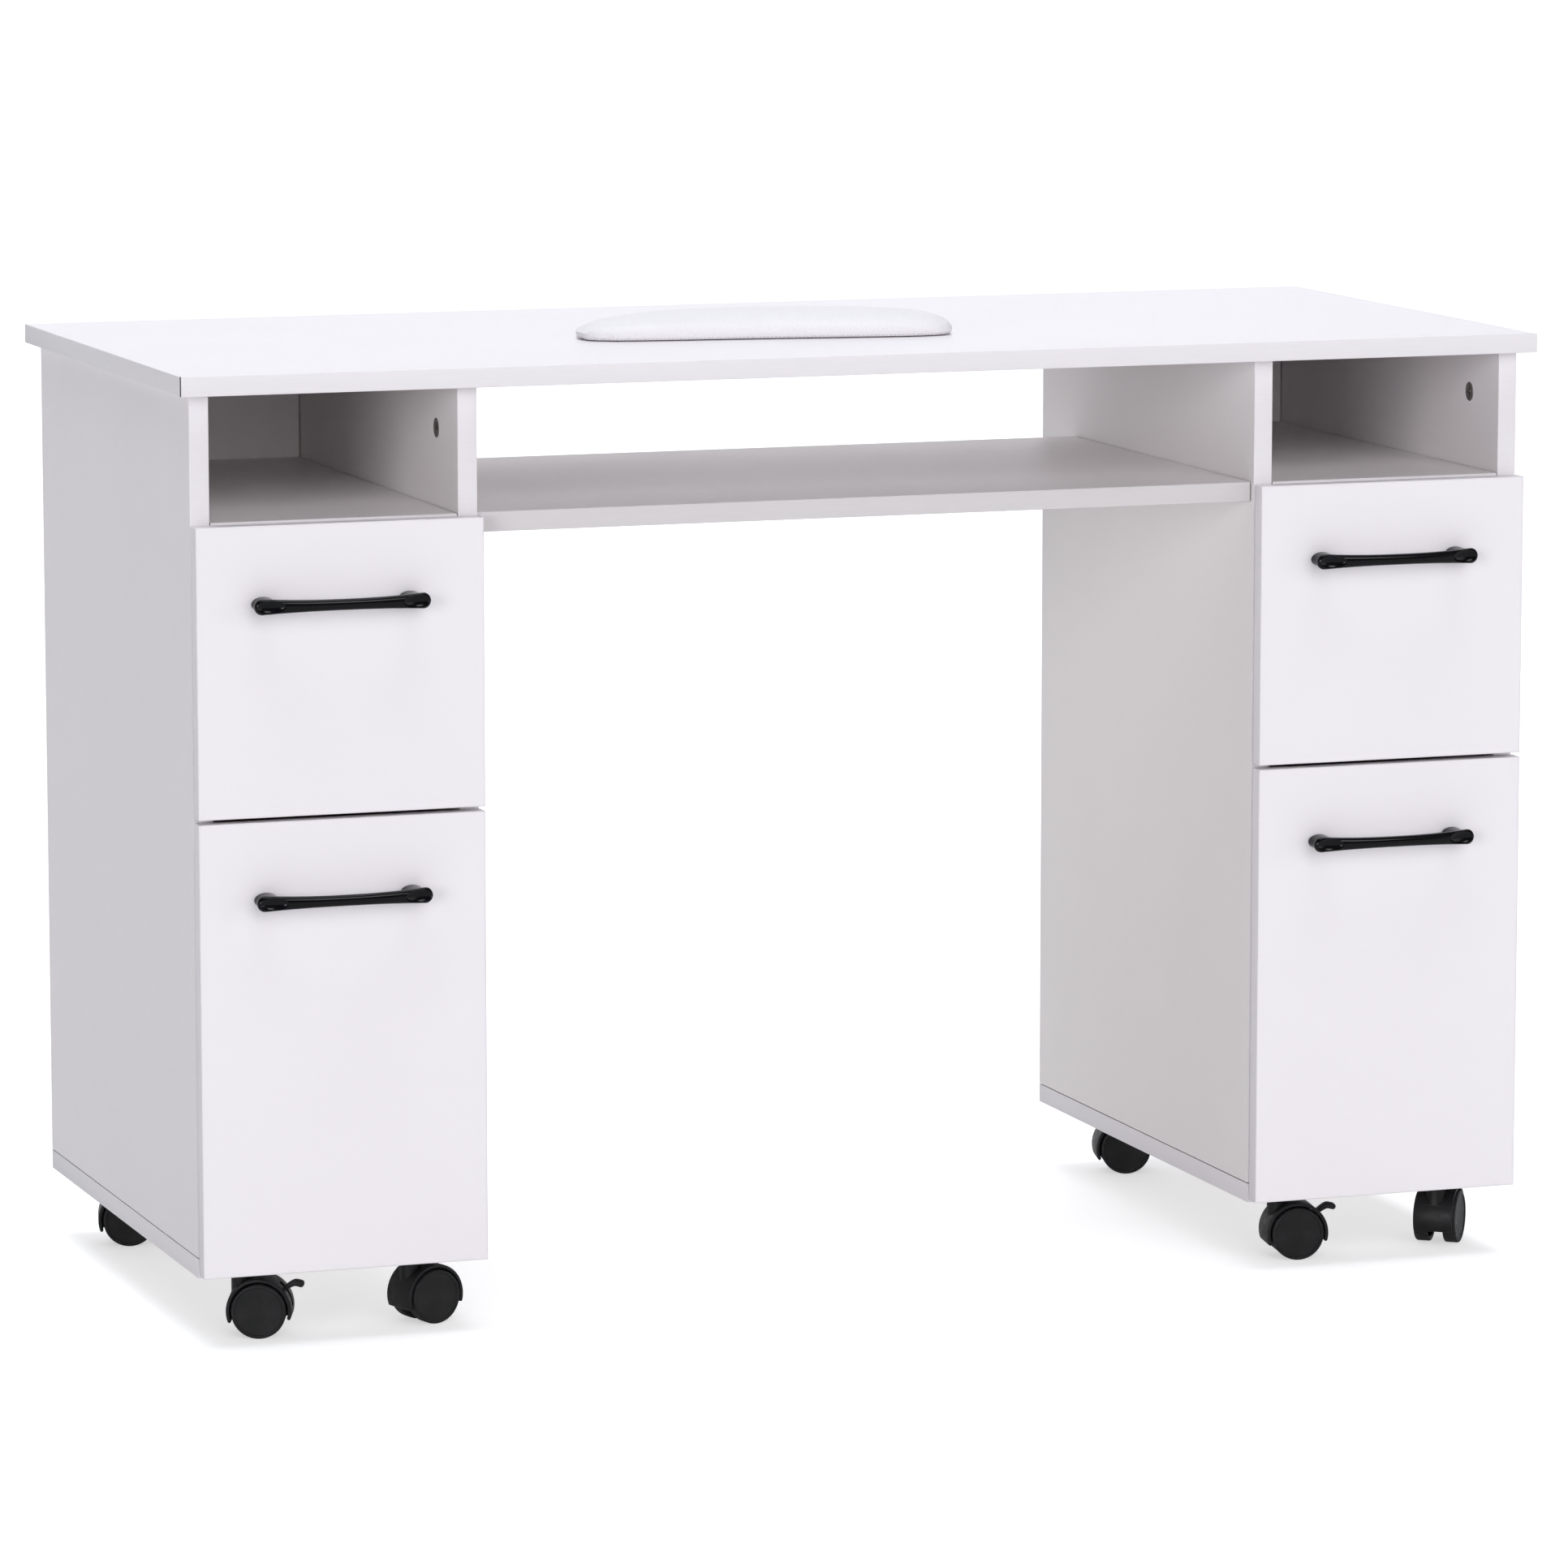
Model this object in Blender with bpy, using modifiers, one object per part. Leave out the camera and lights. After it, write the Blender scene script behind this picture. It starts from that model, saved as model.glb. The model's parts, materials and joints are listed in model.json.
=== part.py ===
"""Manicure table: a melamine top on two drawer pedestals with a shelf between them, on eight casters.

Metres, +Z up. X runs along the table, the drawers face -Y, and the origin is on the floor below the
middle of the whole table's bounding box.
"""

import math

import bmesh
import bpy
from mathutils import Matrix, Vector

# ---------------------------------------------------------------- driving dimensions
GAP = 0.0003              # clearance between pieces that touch
BOARD = 0.016             # melamine particle board

TABLE_LENGTH = 1.120
TABLE_DEPTH = 0.490
TABLE_HEIGHT = 0.750
SIDE_OVERHANG = 0.010     # top past each outer side

CARCASS_DEPTH = 0.460     # sides, front edge to back edge
PEDESTAL_WIDTH = 0.228
PEDESTAL_BASE = 0.054     # underside of the bottom panel
BACK_INSET = 0.003        # back panel in from the carcass's rear edges

CUBBY_FLOOR_TOP = 0.637
SHELF_SETBACK = 0.005     # shelf behind the carcass's front edge
SHELF_DEPTH = 0.379

FRONT_STANDOFF = 0.0006   # drawer fronts ahead of the carcass's edges
FRONT_TOP = 0.6355
FRONT_SPLIT_HIGH = 0.4115
FRONT_SPLIT_LOW = 0.4085
FRONT_BOTTOM = 0.0565

DRAWER_WALL = 0.012
DRAWER_FLOOR = 0.008
DRAWER_WIDTH = 0.170
DRAWER_DEPTH = 0.400
UPPER_BOX_HEIGHTS = (0.428, 0.592)
LOWER_BOX_HEIGHTS = (0.090, 0.352)

RAIL_LENGTH = 0.380
RAIL_HEIGHT = 0.026
RAIL_DEPTH = 0.0105
RAIL_WALL = 0.0015
RAIL_ABOVE_BOX_FLOOR = 0.020
RUNNER_HEIGHT = 0.014
RUNNER_REACH = 0.0088

HANDLE_LENGTH = 0.139
HANDLE_FROM_LEFT = 0.110  # middle of the handle from the front's left edge
HANDLE_DROP = 0.060       # below the front's top edge
HANDLE_END_HEIGHT = 0.0132
HANDLE_WAIST_HEIGHT = 0.0086
HANDLE_END_REACH = 0.0215  # outer face ahead of the drawer front, at the ends
HANDLE_BOW = 0.0040       # how much further the middle stands out
HANDLE_THICKNESS = 0.0075
HANDLE_POST_PITCH = 0.116
HANDLE_POST_SIZE = (0.018, 0.0115)

WHEEL_RADIUS = 0.0213
WHEEL_SIDES = 20
WHEEL_INNER = 0.0064      # tread's inner face from the caster's middle plane
WHEEL_OUTER = 0.0176      # disc's outer face from the caster's middle plane
TREAD_WALL = 0.0032
AXLE_RADIUS = 0.0028
TRAIL = 0.014             # swivel axis to axle
HOOD_OUTER = 0.0254
HOOD_INNER = 0.0225
HOOD_HALF_WIDTH = 0.0158
HOOD_SKIRT_DEG = (19.0, 13.0)    # how far the hood reaches below the axle's level, in front and behind
HOOD_TOP = 0.0482
WEB_HALF = 0.0042
BOSS_RADIUS = 0.0082
STEM_RADIUS = 0.0030
STEM_BORE = 0.0034
STEM_FOOT = 0.0310
PLATE_SIZE = 0.038
PLATE_THICKNESS = 0.0025
COLLAR_RADIUS = 0.0100

LEVER_PIVOT = (0.0130, 0.0130)   # behind and above the axle
LEVER_HALF_WIDTH = 0.0038
LEVER_THICKNESS = 0.0042
LEVER_SLOT_HALF = 0.0044

CUSHION_SIZE = (0.306, 0.102, 0.021)
CUSHION_CENTRE_FROM_LEFT = 0.529   # from the top's left end
CUSHION_CENTRE_FROM_FRONT = 0.194  # from the top's front edge
CUSHION_YAW_DEG = -8.5
CUSHION_BOW = 0.015
CUSHION_CORNER_POWER = 3.2
CUSHION_SLOPE = 0.45      # share of the height lost at the left tip
CUSHION_SLOPE_START = 0.68  # share of the length from the right end where the slope begins

# Casters of a pedestal: swivel axis from its left side and from the carcass's front, and the way
# the wheels trail at rest, in degrees from +X.
LEFT_CASTERS = (
    ("front_left", 0.0445, 0.036, -20.5),
    ("front_right", 0.1795, 0.034, 17.0),
    ("rear_left", 0.036, 0.404, -14.0),
    ("rear_right", 0.182, 0.408, 152.0),
)
RIGHT_CASTERS = (
    ("front_left", 0.0415, 0.036, -9.6),
    ("front_right", 0.183, 0.037, 53.0),
    ("rear_left", 0.044, 0.411, -14.0),
    ("rear_right", 0.182, 0.408, -98.0),
)
BRAKED_CASTER = "front_left"

# ---------------------------------------------------------------- derived places
HANDLE_FRONT = -(FRONT_STANDOFF + BOARD + HANDLE_END_REACH + HANDLE_BOW)
TOP_FRONT = -(FRONT_STANDOFF + BOARD + 0.0009)
TOP_BACK = TOP_FRONT + TABLE_DEPTH
CARCASS_FRONT = -(HANDLE_FRONT + TOP_BACK) / 2   # world y of the carcass's front edge
CARCASS_BACK = CARCASS_FRONT + CARCASS_DEPTH
OUTER_X = TABLE_LENGTH / 2 - SIDE_OVERHANG
INNER_X = OUTER_X - PEDESTAL_WIDTH
SIDES_BOTTOM = PEDESTAL_BASE + BOARD
SIDES_TOP = TABLE_HEIGHT - BOARD
BACK_PANEL_FRONT = CARCASS_BACK - BACK_INSET - BOARD
FRONTS_BACK_Y = CARCASS_FRONT - FRONT_STANDOFF
FRONTS_FACE_Y = FRONTS_BACK_Y - BOARD
PEDESTALS = {"left": -OUTER_X, "right": INNER_X}

parts = bpy.data.collections.new("manicure_table")
cutters = bpy.data.collections.new("cutters")


# ---------------------------------------------------------------- materials
def material(name, colour, roughness, metallic=0.0):
    mat = bpy.data.materials.new(name)
    mat.use_nodes = True
    shader = mat.node_tree.nodes["Principled BSDF"]
    shader.inputs["Base Color"].default_value = (*colour, 1.0)
    shader.inputs["Roughness"].default_value = roughness
    shader.inputs["Metallic"].default_value = metallic
    return mat


MELAMINE = material("melamine", (0.86, 0.86, 0.88), 0.38)
DRAWER_BOARD = material("drawer_board", (0.80, 0.80, 0.80), 0.55)
LEATHERETTE = material("leatherette", (0.87, 0.87, 0.89), 0.45)
HANDLE_BLACK = material("handle_black", (0.012, 0.012, 0.014), 0.35)
CASTER_BLACK = material("caster_black", (0.018, 0.018, 0.019), 0.45)
ZINC_STEEL = material("zinc_steel", (0.62, 0.63, 0.65), 0.35, 1.0)
RAIL_WHITE = material("rail_white", (0.78, 0.78, 0.76), 0.40)


# ---------------------------------------------------------------- building helpers
def new_object(name, mesh, mat, collection=parts):
    obj = bpy.data.objects.new(name, mesh)
    obj.data.materials.append(mat)
    collection.objects.link(obj)
    return obj


def as_cutter(obj):
    obj.hide_render = True
    obj.display_type = "WIRE"
    return obj


def bevel(obj, width, segments=1):
    mod = obj.modifiers.new("Bevel", "BEVEL")
    mod.width = width
    mod.segments = segments
    mod.limit_method = "ANGLE"
    mod.angle_limit = math.radians(40)
    return mod


def boolean(obj, other, operation):
    mod = obj.modifiers.new(operation.title(), "BOOLEAN")
    mod.operation = operation
    mod.solver = "EXACT"
    mod.object = other


def smooth(obj, angle=35.0):
    obj.data.shade_smooth()
    obj.data.set_sharp_from_angle(angle=math.radians(angle))


def cuboid(low, high):
    """A bmesh box between two corners."""
    bm = bmesh.new()
    bmesh.ops.create_cube(bm, size=1.0)
    low, high = Vector(low), Vector(high)
    bmesh.ops.scale(bm, vec=high - low, verts=bm.verts)
    bmesh.ops.translate(bm, vec=(low + high) / 2, verts=bm.verts)
    return bm


def block(name, low, high, mat, edge=0.0008, collection=parts):
    """A board or bar between two world corners, with its origin in its middle."""
    middle = (Vector(low) + Vector(high)) / 2
    bm = cuboid(Vector(low) - middle, Vector(high) - middle)
    mesh = bpy.data.meshes.new(name)
    bm.to_mesh(mesh)
    bm.free()
    obj = new_object(name, mesh, mat, collection)
    obj.location = middle
    if edge:
        bevel(obj, edge)
    return obj


def prism(name, outline, depth_from, depth_to, mat, collection=parts):
    """Extrudes a closed outline of (x, z) points along Y; local coordinates."""
    bm = bmesh.new()
    ring = [bm.verts.new((x, depth_from, z)) for x, z in outline]
    face = bm.faces.new(ring)
    swept = bmesh.ops.extrude_face_region(bm, geom=[face])
    moved = [v for v in swept["geom"] if isinstance(v, bmesh.types.BMVert)]
    bmesh.ops.translate(bm, vec=(0, depth_to - depth_from, 0), verts=moved)
    bmesh.ops.recalc_face_normals(bm, faces=bm.faces)
    mesh = bpy.data.meshes.new(name)
    bm.to_mesh(mesh)
    bm.free()
    return new_object(name, mesh, mat, collection)


def cylinder(name, radius, low, high, axis, mat, sides=24, collection=cutters):
    """A cylinder between two points along a local axis ("Y" or "Z")."""
    bm = bmesh.new()
    bmesh.ops.create_cone(bm, cap_ends=True, segments=sides, radius1=radius, radius2=radius, depth=1.0)
    length = (Vector(high) - Vector(low)).length
    bmesh.ops.scale(bm, vec=(1, 1, length), verts=bm.verts)
    if axis == "Y":
        bmesh.ops.rotate(bm, matrix=Matrix.Rotation(math.pi / 2, 3, "X"), verts=bm.verts)
    bmesh.ops.translate(bm, vec=(Vector(low) + Vector(high)) / 2, verts=bm.verts)
    mesh = bpy.data.meshes.new(name)
    bm.to_mesh(mesh)
    bm.free()
    return new_object(name, mesh, mat, collection)


def arc(radius, start_deg, end_deg, steps, centre=(0.0, 0.0)):
    """Points on an arc in the (x, z) plane, both ends included."""
    points = []
    for i in range(steps + 1):
        angle = math.radians(start_deg + (end_deg - start_deg) * i / steps)
        points.append((centre[0] + radius * math.cos(angle), centre[1] + radius * math.sin(angle)))
    return points


# ---------------------------------------------------------------- carcass
def build_top():
    block("tabletop",
          (-TABLE_LENGTH / 2, CARCASS_FRONT + TOP_FRONT, SIDES_TOP + GAP),
          (TABLE_LENGTH / 2, CARCASS_FRONT + TOP_BACK, TABLE_HEIGHT), MELAMINE, edge=0.001)


def build_pedestal(side, left):
    right = left + PEDESTAL_WIDTH
    panels = {"left": (left, left + BOARD), "right": (right - BOARD, right)}
    for place, (x0, x1) in panels.items():
        outer = place == side
        block(f"{side}_{'outer' if outer else 'inner'}_side",
              (x0, CARCASS_FRONT, SIDES_BOTTOM + GAP), (x1, CARCASS_BACK, SIDES_TOP), MELAMINE)
    block(f"{side}_bottom_panel",
          (left, CARCASS_FRONT, PEDESTAL_BASE), (right, CARCASS_BACK, SIDES_BOTTOM), MELAMINE)
    between = (left + BOARD + GAP, right - BOARD - GAP)
    block(f"{side}_back_panel",
          (between[0], BACK_PANEL_FRONT, SIDES_BOTTOM + GAP),
          (between[1], BACK_PANEL_FRONT + BOARD, SIDES_TOP - GAP), MELAMINE)
    block(f"{side}_cubby_floor",
          (between[0], CARCASS_FRONT, CUBBY_FLOOR_TOP - BOARD),
          (between[1], BACK_PANEL_FRONT - GAP, CUBBY_FLOOR_TOP), MELAMINE)


def build_shelf():
    front = CARCASS_FRONT + SHELF_SETBACK
    block("centre_shelf",
          (-INNER_X + GAP, front, CUBBY_FLOOR_TOP - BOARD),
          (INNER_X - GAP, front + SHELF_DEPTH, CUBBY_FLOOR_TOP), MELAMINE)


# ---------------------------------------------------------------- drawers
def build_drawer_box(name, left, heights):
    """An open box with a runner tongue along each side, which slides in the fixed rails."""
    middle = left + PEDESTAL_WIDTH / 2
    half = DRAWER_WIDTH / 2
    front = FRONTS_BACK_Y + GAP
    back = front + DRAWER_DEPTH
    low, high = heights
    box = block(name, (middle - half, front, low), (middle + half, back, high), DRAWER_BOARD, edge=0)
    hollow = block(f"{name}_hollow",
                   (middle - half + DRAWER_WALL, front + DRAWER_WALL, low + DRAWER_FLOOR),
                   (middle + half - DRAWER_WALL, back - DRAWER_WALL, high + DRAWER_WALL),
                   DRAWER_BOARD, edge=0, collection=cutters)
    boolean(box, as_cutter(hollow), "DIFFERENCE")
    runner_z = low + RAIL_ABOVE_BOX_FLOOR + RAIL_HEIGHT / 2
    runners = block(f"{name}_runners",
                    (middle - half - RUNNER_REACH, back - RAIL_LENGTH, runner_z - RUNNER_HEIGHT / 2),
                    (middle + half + RUNNER_REACH, back, runner_z + RUNNER_HEIGHT / 2),
                    DRAWER_BOARD, edge=0, collection=cutters)
    clear = block(f"{name}_runner_gap",
                  (middle - half + DRAWER_WALL / 2, front - GAP, low + DRAWER_FLOOR / 2),
                  (middle + half - DRAWER_WALL / 2, back + GAP, high + DRAWER_WALL),
                  DRAWER_BOARD, edge=0, collection=cutters)
    boolean(runners, as_cutter(clear), "DIFFERENCE")
    boolean(box, as_cutter(runners), "UNION")
    bevel(box, 0.0006)


def build_rails(name, left, heights):
    """Two fixed C-section rails, open towards the drawer and at both ends."""
    low = heights[0] + RAIL_ABOVE_BOX_FLOOR
    front = CARCASS_FRONT + 0.004
    walls = {"left": (left + BOARD + GAP, 1), "right": (left + PEDESTAL_WIDTH - BOARD - GAP, -1)}
    for place, (wall, inward) in walls.items():
        depth, lip = inward * RAIL_DEPTH, inward * RAIL_WALL
        outline = [
            (0, 0), (depth, 0), (depth, RAIL_WALL), (lip, RAIL_WALL),
            (lip, RAIL_HEIGHT - RAIL_WALL), (depth, RAIL_HEIGHT - RAIL_WALL),
            (depth, RAIL_HEIGHT), (0, RAIL_HEIGHT),
        ]
        rail = prism(f"{name}_rail_{place}", outline, 0.0, RAIL_LENGTH, RAIL_WHITE)
        rail.location = (wall, front, low)


def build_handle(name, left, top):
    """A bowed, waisted bar lofted along X from oval sections, on two oval posts."""
    stations, around = 18, 12
    bm = bmesh.new()
    rings = []
    for i in range(stations + 1):
        u = -math.cos(math.pi * i / stations)
        end = math.sqrt(max(0.0, 1 - max(0.0, (abs(u) - 0.9) / 0.1) ** 2))
        swell = abs(u) ** 2.2
        height = (HANDLE_WAIST_HEIGHT + (HANDLE_END_HEIGHT - HANDLE_WAIST_HEIGHT) * swell) / 2
        reach = HANDLE_END_REACH + HANDLE_BOW * (1 - u * u) - HANDLE_THICKNESS / 2
        ring = []
        for k in range(around):
            a = 2 * math.pi * k / around
            y = -reach - HANDLE_THICKNESS / 2 * math.sin(a)
            z = height * max(end, 0.25) * math.cos(a)
            ring.append(bm.verts.new((u * HANDLE_LENGTH / 2, y, z)))
        rings.append(ring)
    for a, b in zip(rings, rings[1:]):
        for k in range(around):
            bm.faces.new((a[k], a[(k + 1) % around], b[(k + 1) % around], b[k]))
    bm.faces.new(rings[0])
    bm.faces.new(rings[-1])
    bmesh.ops.recalc_face_normals(bm, faces=bm.faces)
    mesh = bpy.data.meshes.new(name)
    bm.to_mesh(mesh)
    bm.free()
    handle = new_object(name, mesh, HANDLE_BLACK)
    handle.location = (left + HANDLE_FROM_LEFT, FRONTS_FACE_Y, top - HANDLE_DROP)
    for sign in (-1, 1):
        post = cylinder(f"{name}_post", 0.5, (0, -HANDLE_END_REACH + HANDLE_THICKNESS / 2, 0),
                        (0, -GAP, 0), "Y", HANDLE_BLACK, sides=14)
        wide, tall = HANDLE_POST_SIZE
        post.data.transform(Matrix.Diagonal((wide, 1, tall, 1)))
        post.location = handle.location + Vector((sign * HANDLE_POST_PITCH / 2, 0, 0))
        boolean(handle, as_cutter(post), "UNION")
    smooth(handle)


def build_drawer(side, left, level, bottom, top, heights):
    name = f"{side}_{level}_drawer"
    block(f"{name}_front", (left, FRONTS_FACE_Y, bottom), (left + PEDESTAL_WIDTH, FRONTS_BACK_Y, top),
          MELAMINE, edge=0.001)
    build_drawer_box(f"{name}_box", left, heights)
    build_rails(name, left, heights)
    build_handle(f"{name}_handle", left, top)


# ---------------------------------------------------------------- casters
def build_mount(name, place, turn):
    """Steel top plate with the swivel's collar and stem turned below it."""
    plate_low = PEDESTAL_BASE - GAP - PLATE_THICKNESS
    half = PLATE_SIZE / 2
    plate = block(name, (-half, -half, plate_low), (half, half, plate_low + PLATE_THICKNESS),
                  ZINC_STEEL, edge=0)
    plate.location = place + plate.location
    stem = turned(f"{name}_stem", [
        (0.0, plate_low + PLATE_THICKNESS / 2), (COLLAR_RADIUS, plate_low + PLATE_THICKNESS / 2),
        (COLLAR_RADIUS, HOOD_TOP + GAP), (STEM_RADIUS, HOOD_TOP + GAP),
        (STEM_RADIUS, STEM_FOOT), (0.0, STEM_FOOT)], ZINC_STEEL, 12)
    stem.location = place
    boolean(plate, as_cutter(stem), "UNION")
    plate.rotation_euler.z = turn


def turned(name, profile, mat, steps, collection=cutters):
    """Spins an (r, z) profile, listed top to bottom on the outside, about the local Z axis."""
    bm = bmesh.new()
    verts = [bm.verts.new((r, 0, z)) for r, z in profile]
    for a, b in zip(verts, verts[1:]):
        bm.edges.new((a, b))
    mesh = bpy.data.meshes.new(name)
    bm.to_mesh(mesh)
    bm.free()
    obj = new_object(name, mesh, mat, collection)
    mod = obj.modifiers.new("Screw", "SCREW")
    mod.steps = mod.render_steps = steps
    mod.use_merge_vertices = True
    mod.merge_threshold = 0.00002
    mod.use_normal_calculate = True
    return obj


def build_hood(name, place, turn, braked):
    """Arched hood over both wheels, with the swivel boss, the middle web and the axle's bore."""
    axle = (TRAIL, WHEEL_RADIUS)
    front, rear = 180 + HOOD_SKIRT_DEG[0], -HOOD_SKIRT_DEG[1]
    shell = arc(HOOD_OUTER, rear, front, 16, axle) + arc(HOOD_INNER, front, rear, 16, axle)
    hood = prism(name, shell, -HOOD_HALF_WIDTH, HOOD_HALF_WIDTH, CASTER_BLACK)
    web_outline = arc(HOOD_INNER + 0.0015, rear, front, 14, axle)
    web = prism(f"{name}_web", web_outline, -WEB_HALF, WEB_HALF, CASTER_BLACK, cutters)
    boolean(hood, as_cutter(web), "UNION")
    boss = cylinder(f"{name}_boss", BOSS_RADIUS, (0, 0, 0.0225), (0, 0, HOOD_TOP), "Z", CASTER_BLACK,
                    sides=16)
    wheel_room = cylinder(f"{name}_wheel_room", HOOD_INNER,
                          (TRAIL, -HOOD_HALF_WIDTH, WHEEL_RADIUS),
                          (TRAIL, HOOD_HALF_WIDTH, WHEEL_RADIUS), "Y", CASTER_BLACK, sides=32)
    boolean(boss, as_cutter(wheel_room), "DIFFERENCE")
    boolean(hood, as_cutter(boss), "UNION")
    bore = cylinder(f"{name}_stem_bore", STEM_BORE, (0, 0, STEM_FOOT - GAP), (0, 0, TABLE_HEIGHT), "Z",
                    CASTER_BLACK, sides=12)
    boolean(hood, as_cutter(bore), "DIFFERENCE")
    axle_bore = cylinder(f"{name}_axle_bore", AXLE_RADIUS + GAP, (TRAIL, -0.03, WHEEL_RADIUS),
                         (TRAIL, 0.03, WHEEL_RADIUS), "Y", CASTER_BLACK, sides=12)
    boolean(hood, as_cutter(axle_bore), "DIFFERENCE")
    helpers = [web, boss, wheel_room, bore, axle_bore]
    if braked:
        slot = prism(f"{name}_slot", lever_slot_outline(), -LEVER_SLOT_HALF, LEVER_SLOT_HALF,
                     CASTER_BLACK, cutters)
        boolean(hood, as_cutter(slot), "DIFFERENCE")
        helpers.append(slot)
    for obj in [hood] + helpers:
        obj.location = place
        obj.rotation_euler.z = turn
    smooth(hood)


def build_wheels(name, place, turn):
    """Two cup-shaped wheels on their axle, turned about the axle as one piece."""
    apothem = math.cos(math.pi / WHEEL_SIDES)
    tread = WHEEL_RADIUS / apothem
    hub_wall = WHEEL_OUTER - 0.0035
    half = [(0.0, WHEEL_OUTER - 0.0010), (0.0165, WHEEL_OUTER),
            (tread - 0.0012, WHEEL_OUTER - 0.0008), (tread, WHEEL_OUTER - 0.0024),
            (tread, WHEEL_INNER), (tread - TREAD_WALL, WHEEL_INNER), (tread - TREAD_WALL, hub_wall),
            (AXLE_RADIUS, hub_wall)]
    profile = half + [(r, -z) for r, z in reversed(half)]
    wheels = turned(name, profile, CASTER_BLACK, WHEEL_SIDES, parts)
    wheels.data.transform(Matrix.Rotation(math.pi / WHEEL_SIDES, 4, "Z"))
    heading = Matrix.Rotation(turn, 4, "Z")
    centre = place + heading @ Vector((TRAIL, 0, WHEEL_RADIUS))
    upright = Matrix.Rotation(math.pi / 2, 4, "X")
    wheels.matrix_world = Matrix.Translation(centre) @ heading @ upright


def lever_path():
    """Middle line of the brake lever in the hood's (x, z) plane: from its pivot out and up to its tip."""
    px, pz = TRAIL + LEVER_PIVOT[0], WHEEL_RADIUS + LEVER_PIVOT[1]
    return [(px, pz), (px + 0.0053, pz + 0.0016), (px + 0.0096, pz + 0.0046),
            (px + 0.0143, pz + 0.0068), (px + 0.0190, pz + 0.0060)]


def lever_slot_outline():
    """Opening in the web and the hood through which the lever passes and swings."""
    px, pz = TRAIL + LEVER_PIVOT[0], WHEEL_RADIUS + LEVER_PIVOT[1]
    return arc(0.0042, 100, 250, 8, (px, pz)) + [
        (px + 0.0150, pz - 0.0135), (px + 0.0230, pz - 0.0090), (px + 0.0230, pz + 0.0110),
        (px + 0.0065, pz + 0.0105)]


def build_lever(name, place, turn):
    """Curved brake lever on its hub, widening to a rounded toe pad."""
    path = lever_path()
    outline_top, outline_low = [], []
    for i, (x, z) in enumerate(path):
        before, after = path[max(i - 1, 0)], path[min(i + 1, len(path) - 1)]
        along = Vector((after[0] - before[0], after[1] - before[1])).normalized()
        half = LEVER_THICKNESS / 2 * (1.25 if i == len(path) - 1 else 0.85)
        outline_top.append((x - along.y * half, z + along.x * half))
        outline_low.append((x + along.y * half, z - along.x * half))
    tip = path[-1]
    round_tip = arc(LEVER_THICKNESS / 2 * 1.25, -80, 80, 6, tip)
    outline = outline_low[1:-1] + round_tip + outline_top[-2:0:-1]
    hub = arc(0.0036, 60, 290, 10, path[0])
    lever = prism(name, outline + hub, -LEVER_HALF_WIDTH, LEVER_HALF_WIDTH, CASTER_BLACK)
    pivot = Vector((path[0][0], 0, path[0][1]))
    lever.data.transform(Matrix.Translation(-pivot))
    heading = Matrix.Rotation(turn, 4, "Z")
    lever.matrix_world = Matrix.Translation(place + heading @ pivot) @ heading
    bevel(lever, 0.0008)
    smooth(lever)


def build_casters(side, left, casters):
    for place_name, from_left, from_front, heading in casters:
        name = f"{side}_{place_name}_caster"
        place = Vector((left + from_left, CARCASS_FRONT + from_front, 0.0))
        turn = math.radians(heading)
        braked = place_name == BRAKED_CASTER
        build_mount(f"{name}_mount", place, 0.0)
        build_hood(f"{name}_hood", place, turn, braked)
        build_wheels(f"{name}_wheels", place, turn)
        if braked:
            build_lever(f"{name}_brake_lever", place, turn)


# ---------------------------------------------------------------- wrist cushion
def cushion_ring(inset, share, count=36):
    """Outline drawn in by inset, at a share of the height: bowed to the back, and lower at the left end."""
    length, depth, height = CUSHION_SIZE
    power = 2 / CUSHION_CORNER_POWER
    ring = []
    for k in range(count):
        a = 2 * math.pi * k / count
        x = math.copysign(abs(math.cos(a)) ** power, math.cos(a)) * (length / 2 - inset)
        y = math.copysign(abs(math.sin(a)) ** power, math.sin(a)) * (depth / 2 - inset)
        y += CUSHION_BOW * (0.5 - (2 * x / length) ** 2)
        slope = max(0.0, (0.5 - x / length - CUSHION_SLOPE_START) / (1 - CUSHION_SLOPE_START))
        ring.append((x, y, share * height * (1 - CUSHION_SLOPE * slope ** 2)))
    return ring


def build_cushion():
    levels = ((0.0015, 0.0), (0.0, 0.15), (0.0002, 0.35), (0.003, 0.60), (0.009, 0.80),
              (0.018, 0.93), (0.030, 1.0))
    bm = bmesh.new()
    rings = [[bm.verts.new(p) for p in cushion_ring(*level)] for level in levels]
    for a, b in zip(rings, rings[1:]):
        for k in range(len(a)):
            n = (k + 1) % len(a)
            bm.faces.new((a[k], a[n], b[n], b[k]))
    bm.faces.new(rings[0])
    crown = rings[-1]
    count = len(crown)
    for k in range(count // 2):   # strips across the crown, from the right end to the left
        strip = (crown[k], crown[k + 1], crown[(count - k - 1) % count], crown[(count - k) % count])
        bm.faces.new(list(dict.fromkeys(strip)))
    bmesh.ops.recalc_face_normals(bm, faces=bm.faces)
    mesh = bpy.data.meshes.new("wrist_cushion")
    bm.to_mesh(mesh)
    bm.free()
    cushion = new_object("wrist_cushion", mesh, LEATHERETTE)
    cushion.location = (-TABLE_LENGTH / 2 + CUSHION_CENTRE_FROM_LEFT,
                        CARCASS_FRONT + TOP_FRONT + CUSHION_CENTRE_FROM_FRONT, TABLE_HEIGHT + GAP)
    cushion.rotation_euler.z = math.radians(CUSHION_YAW_DEG)
    smooth(cushion)


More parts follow.
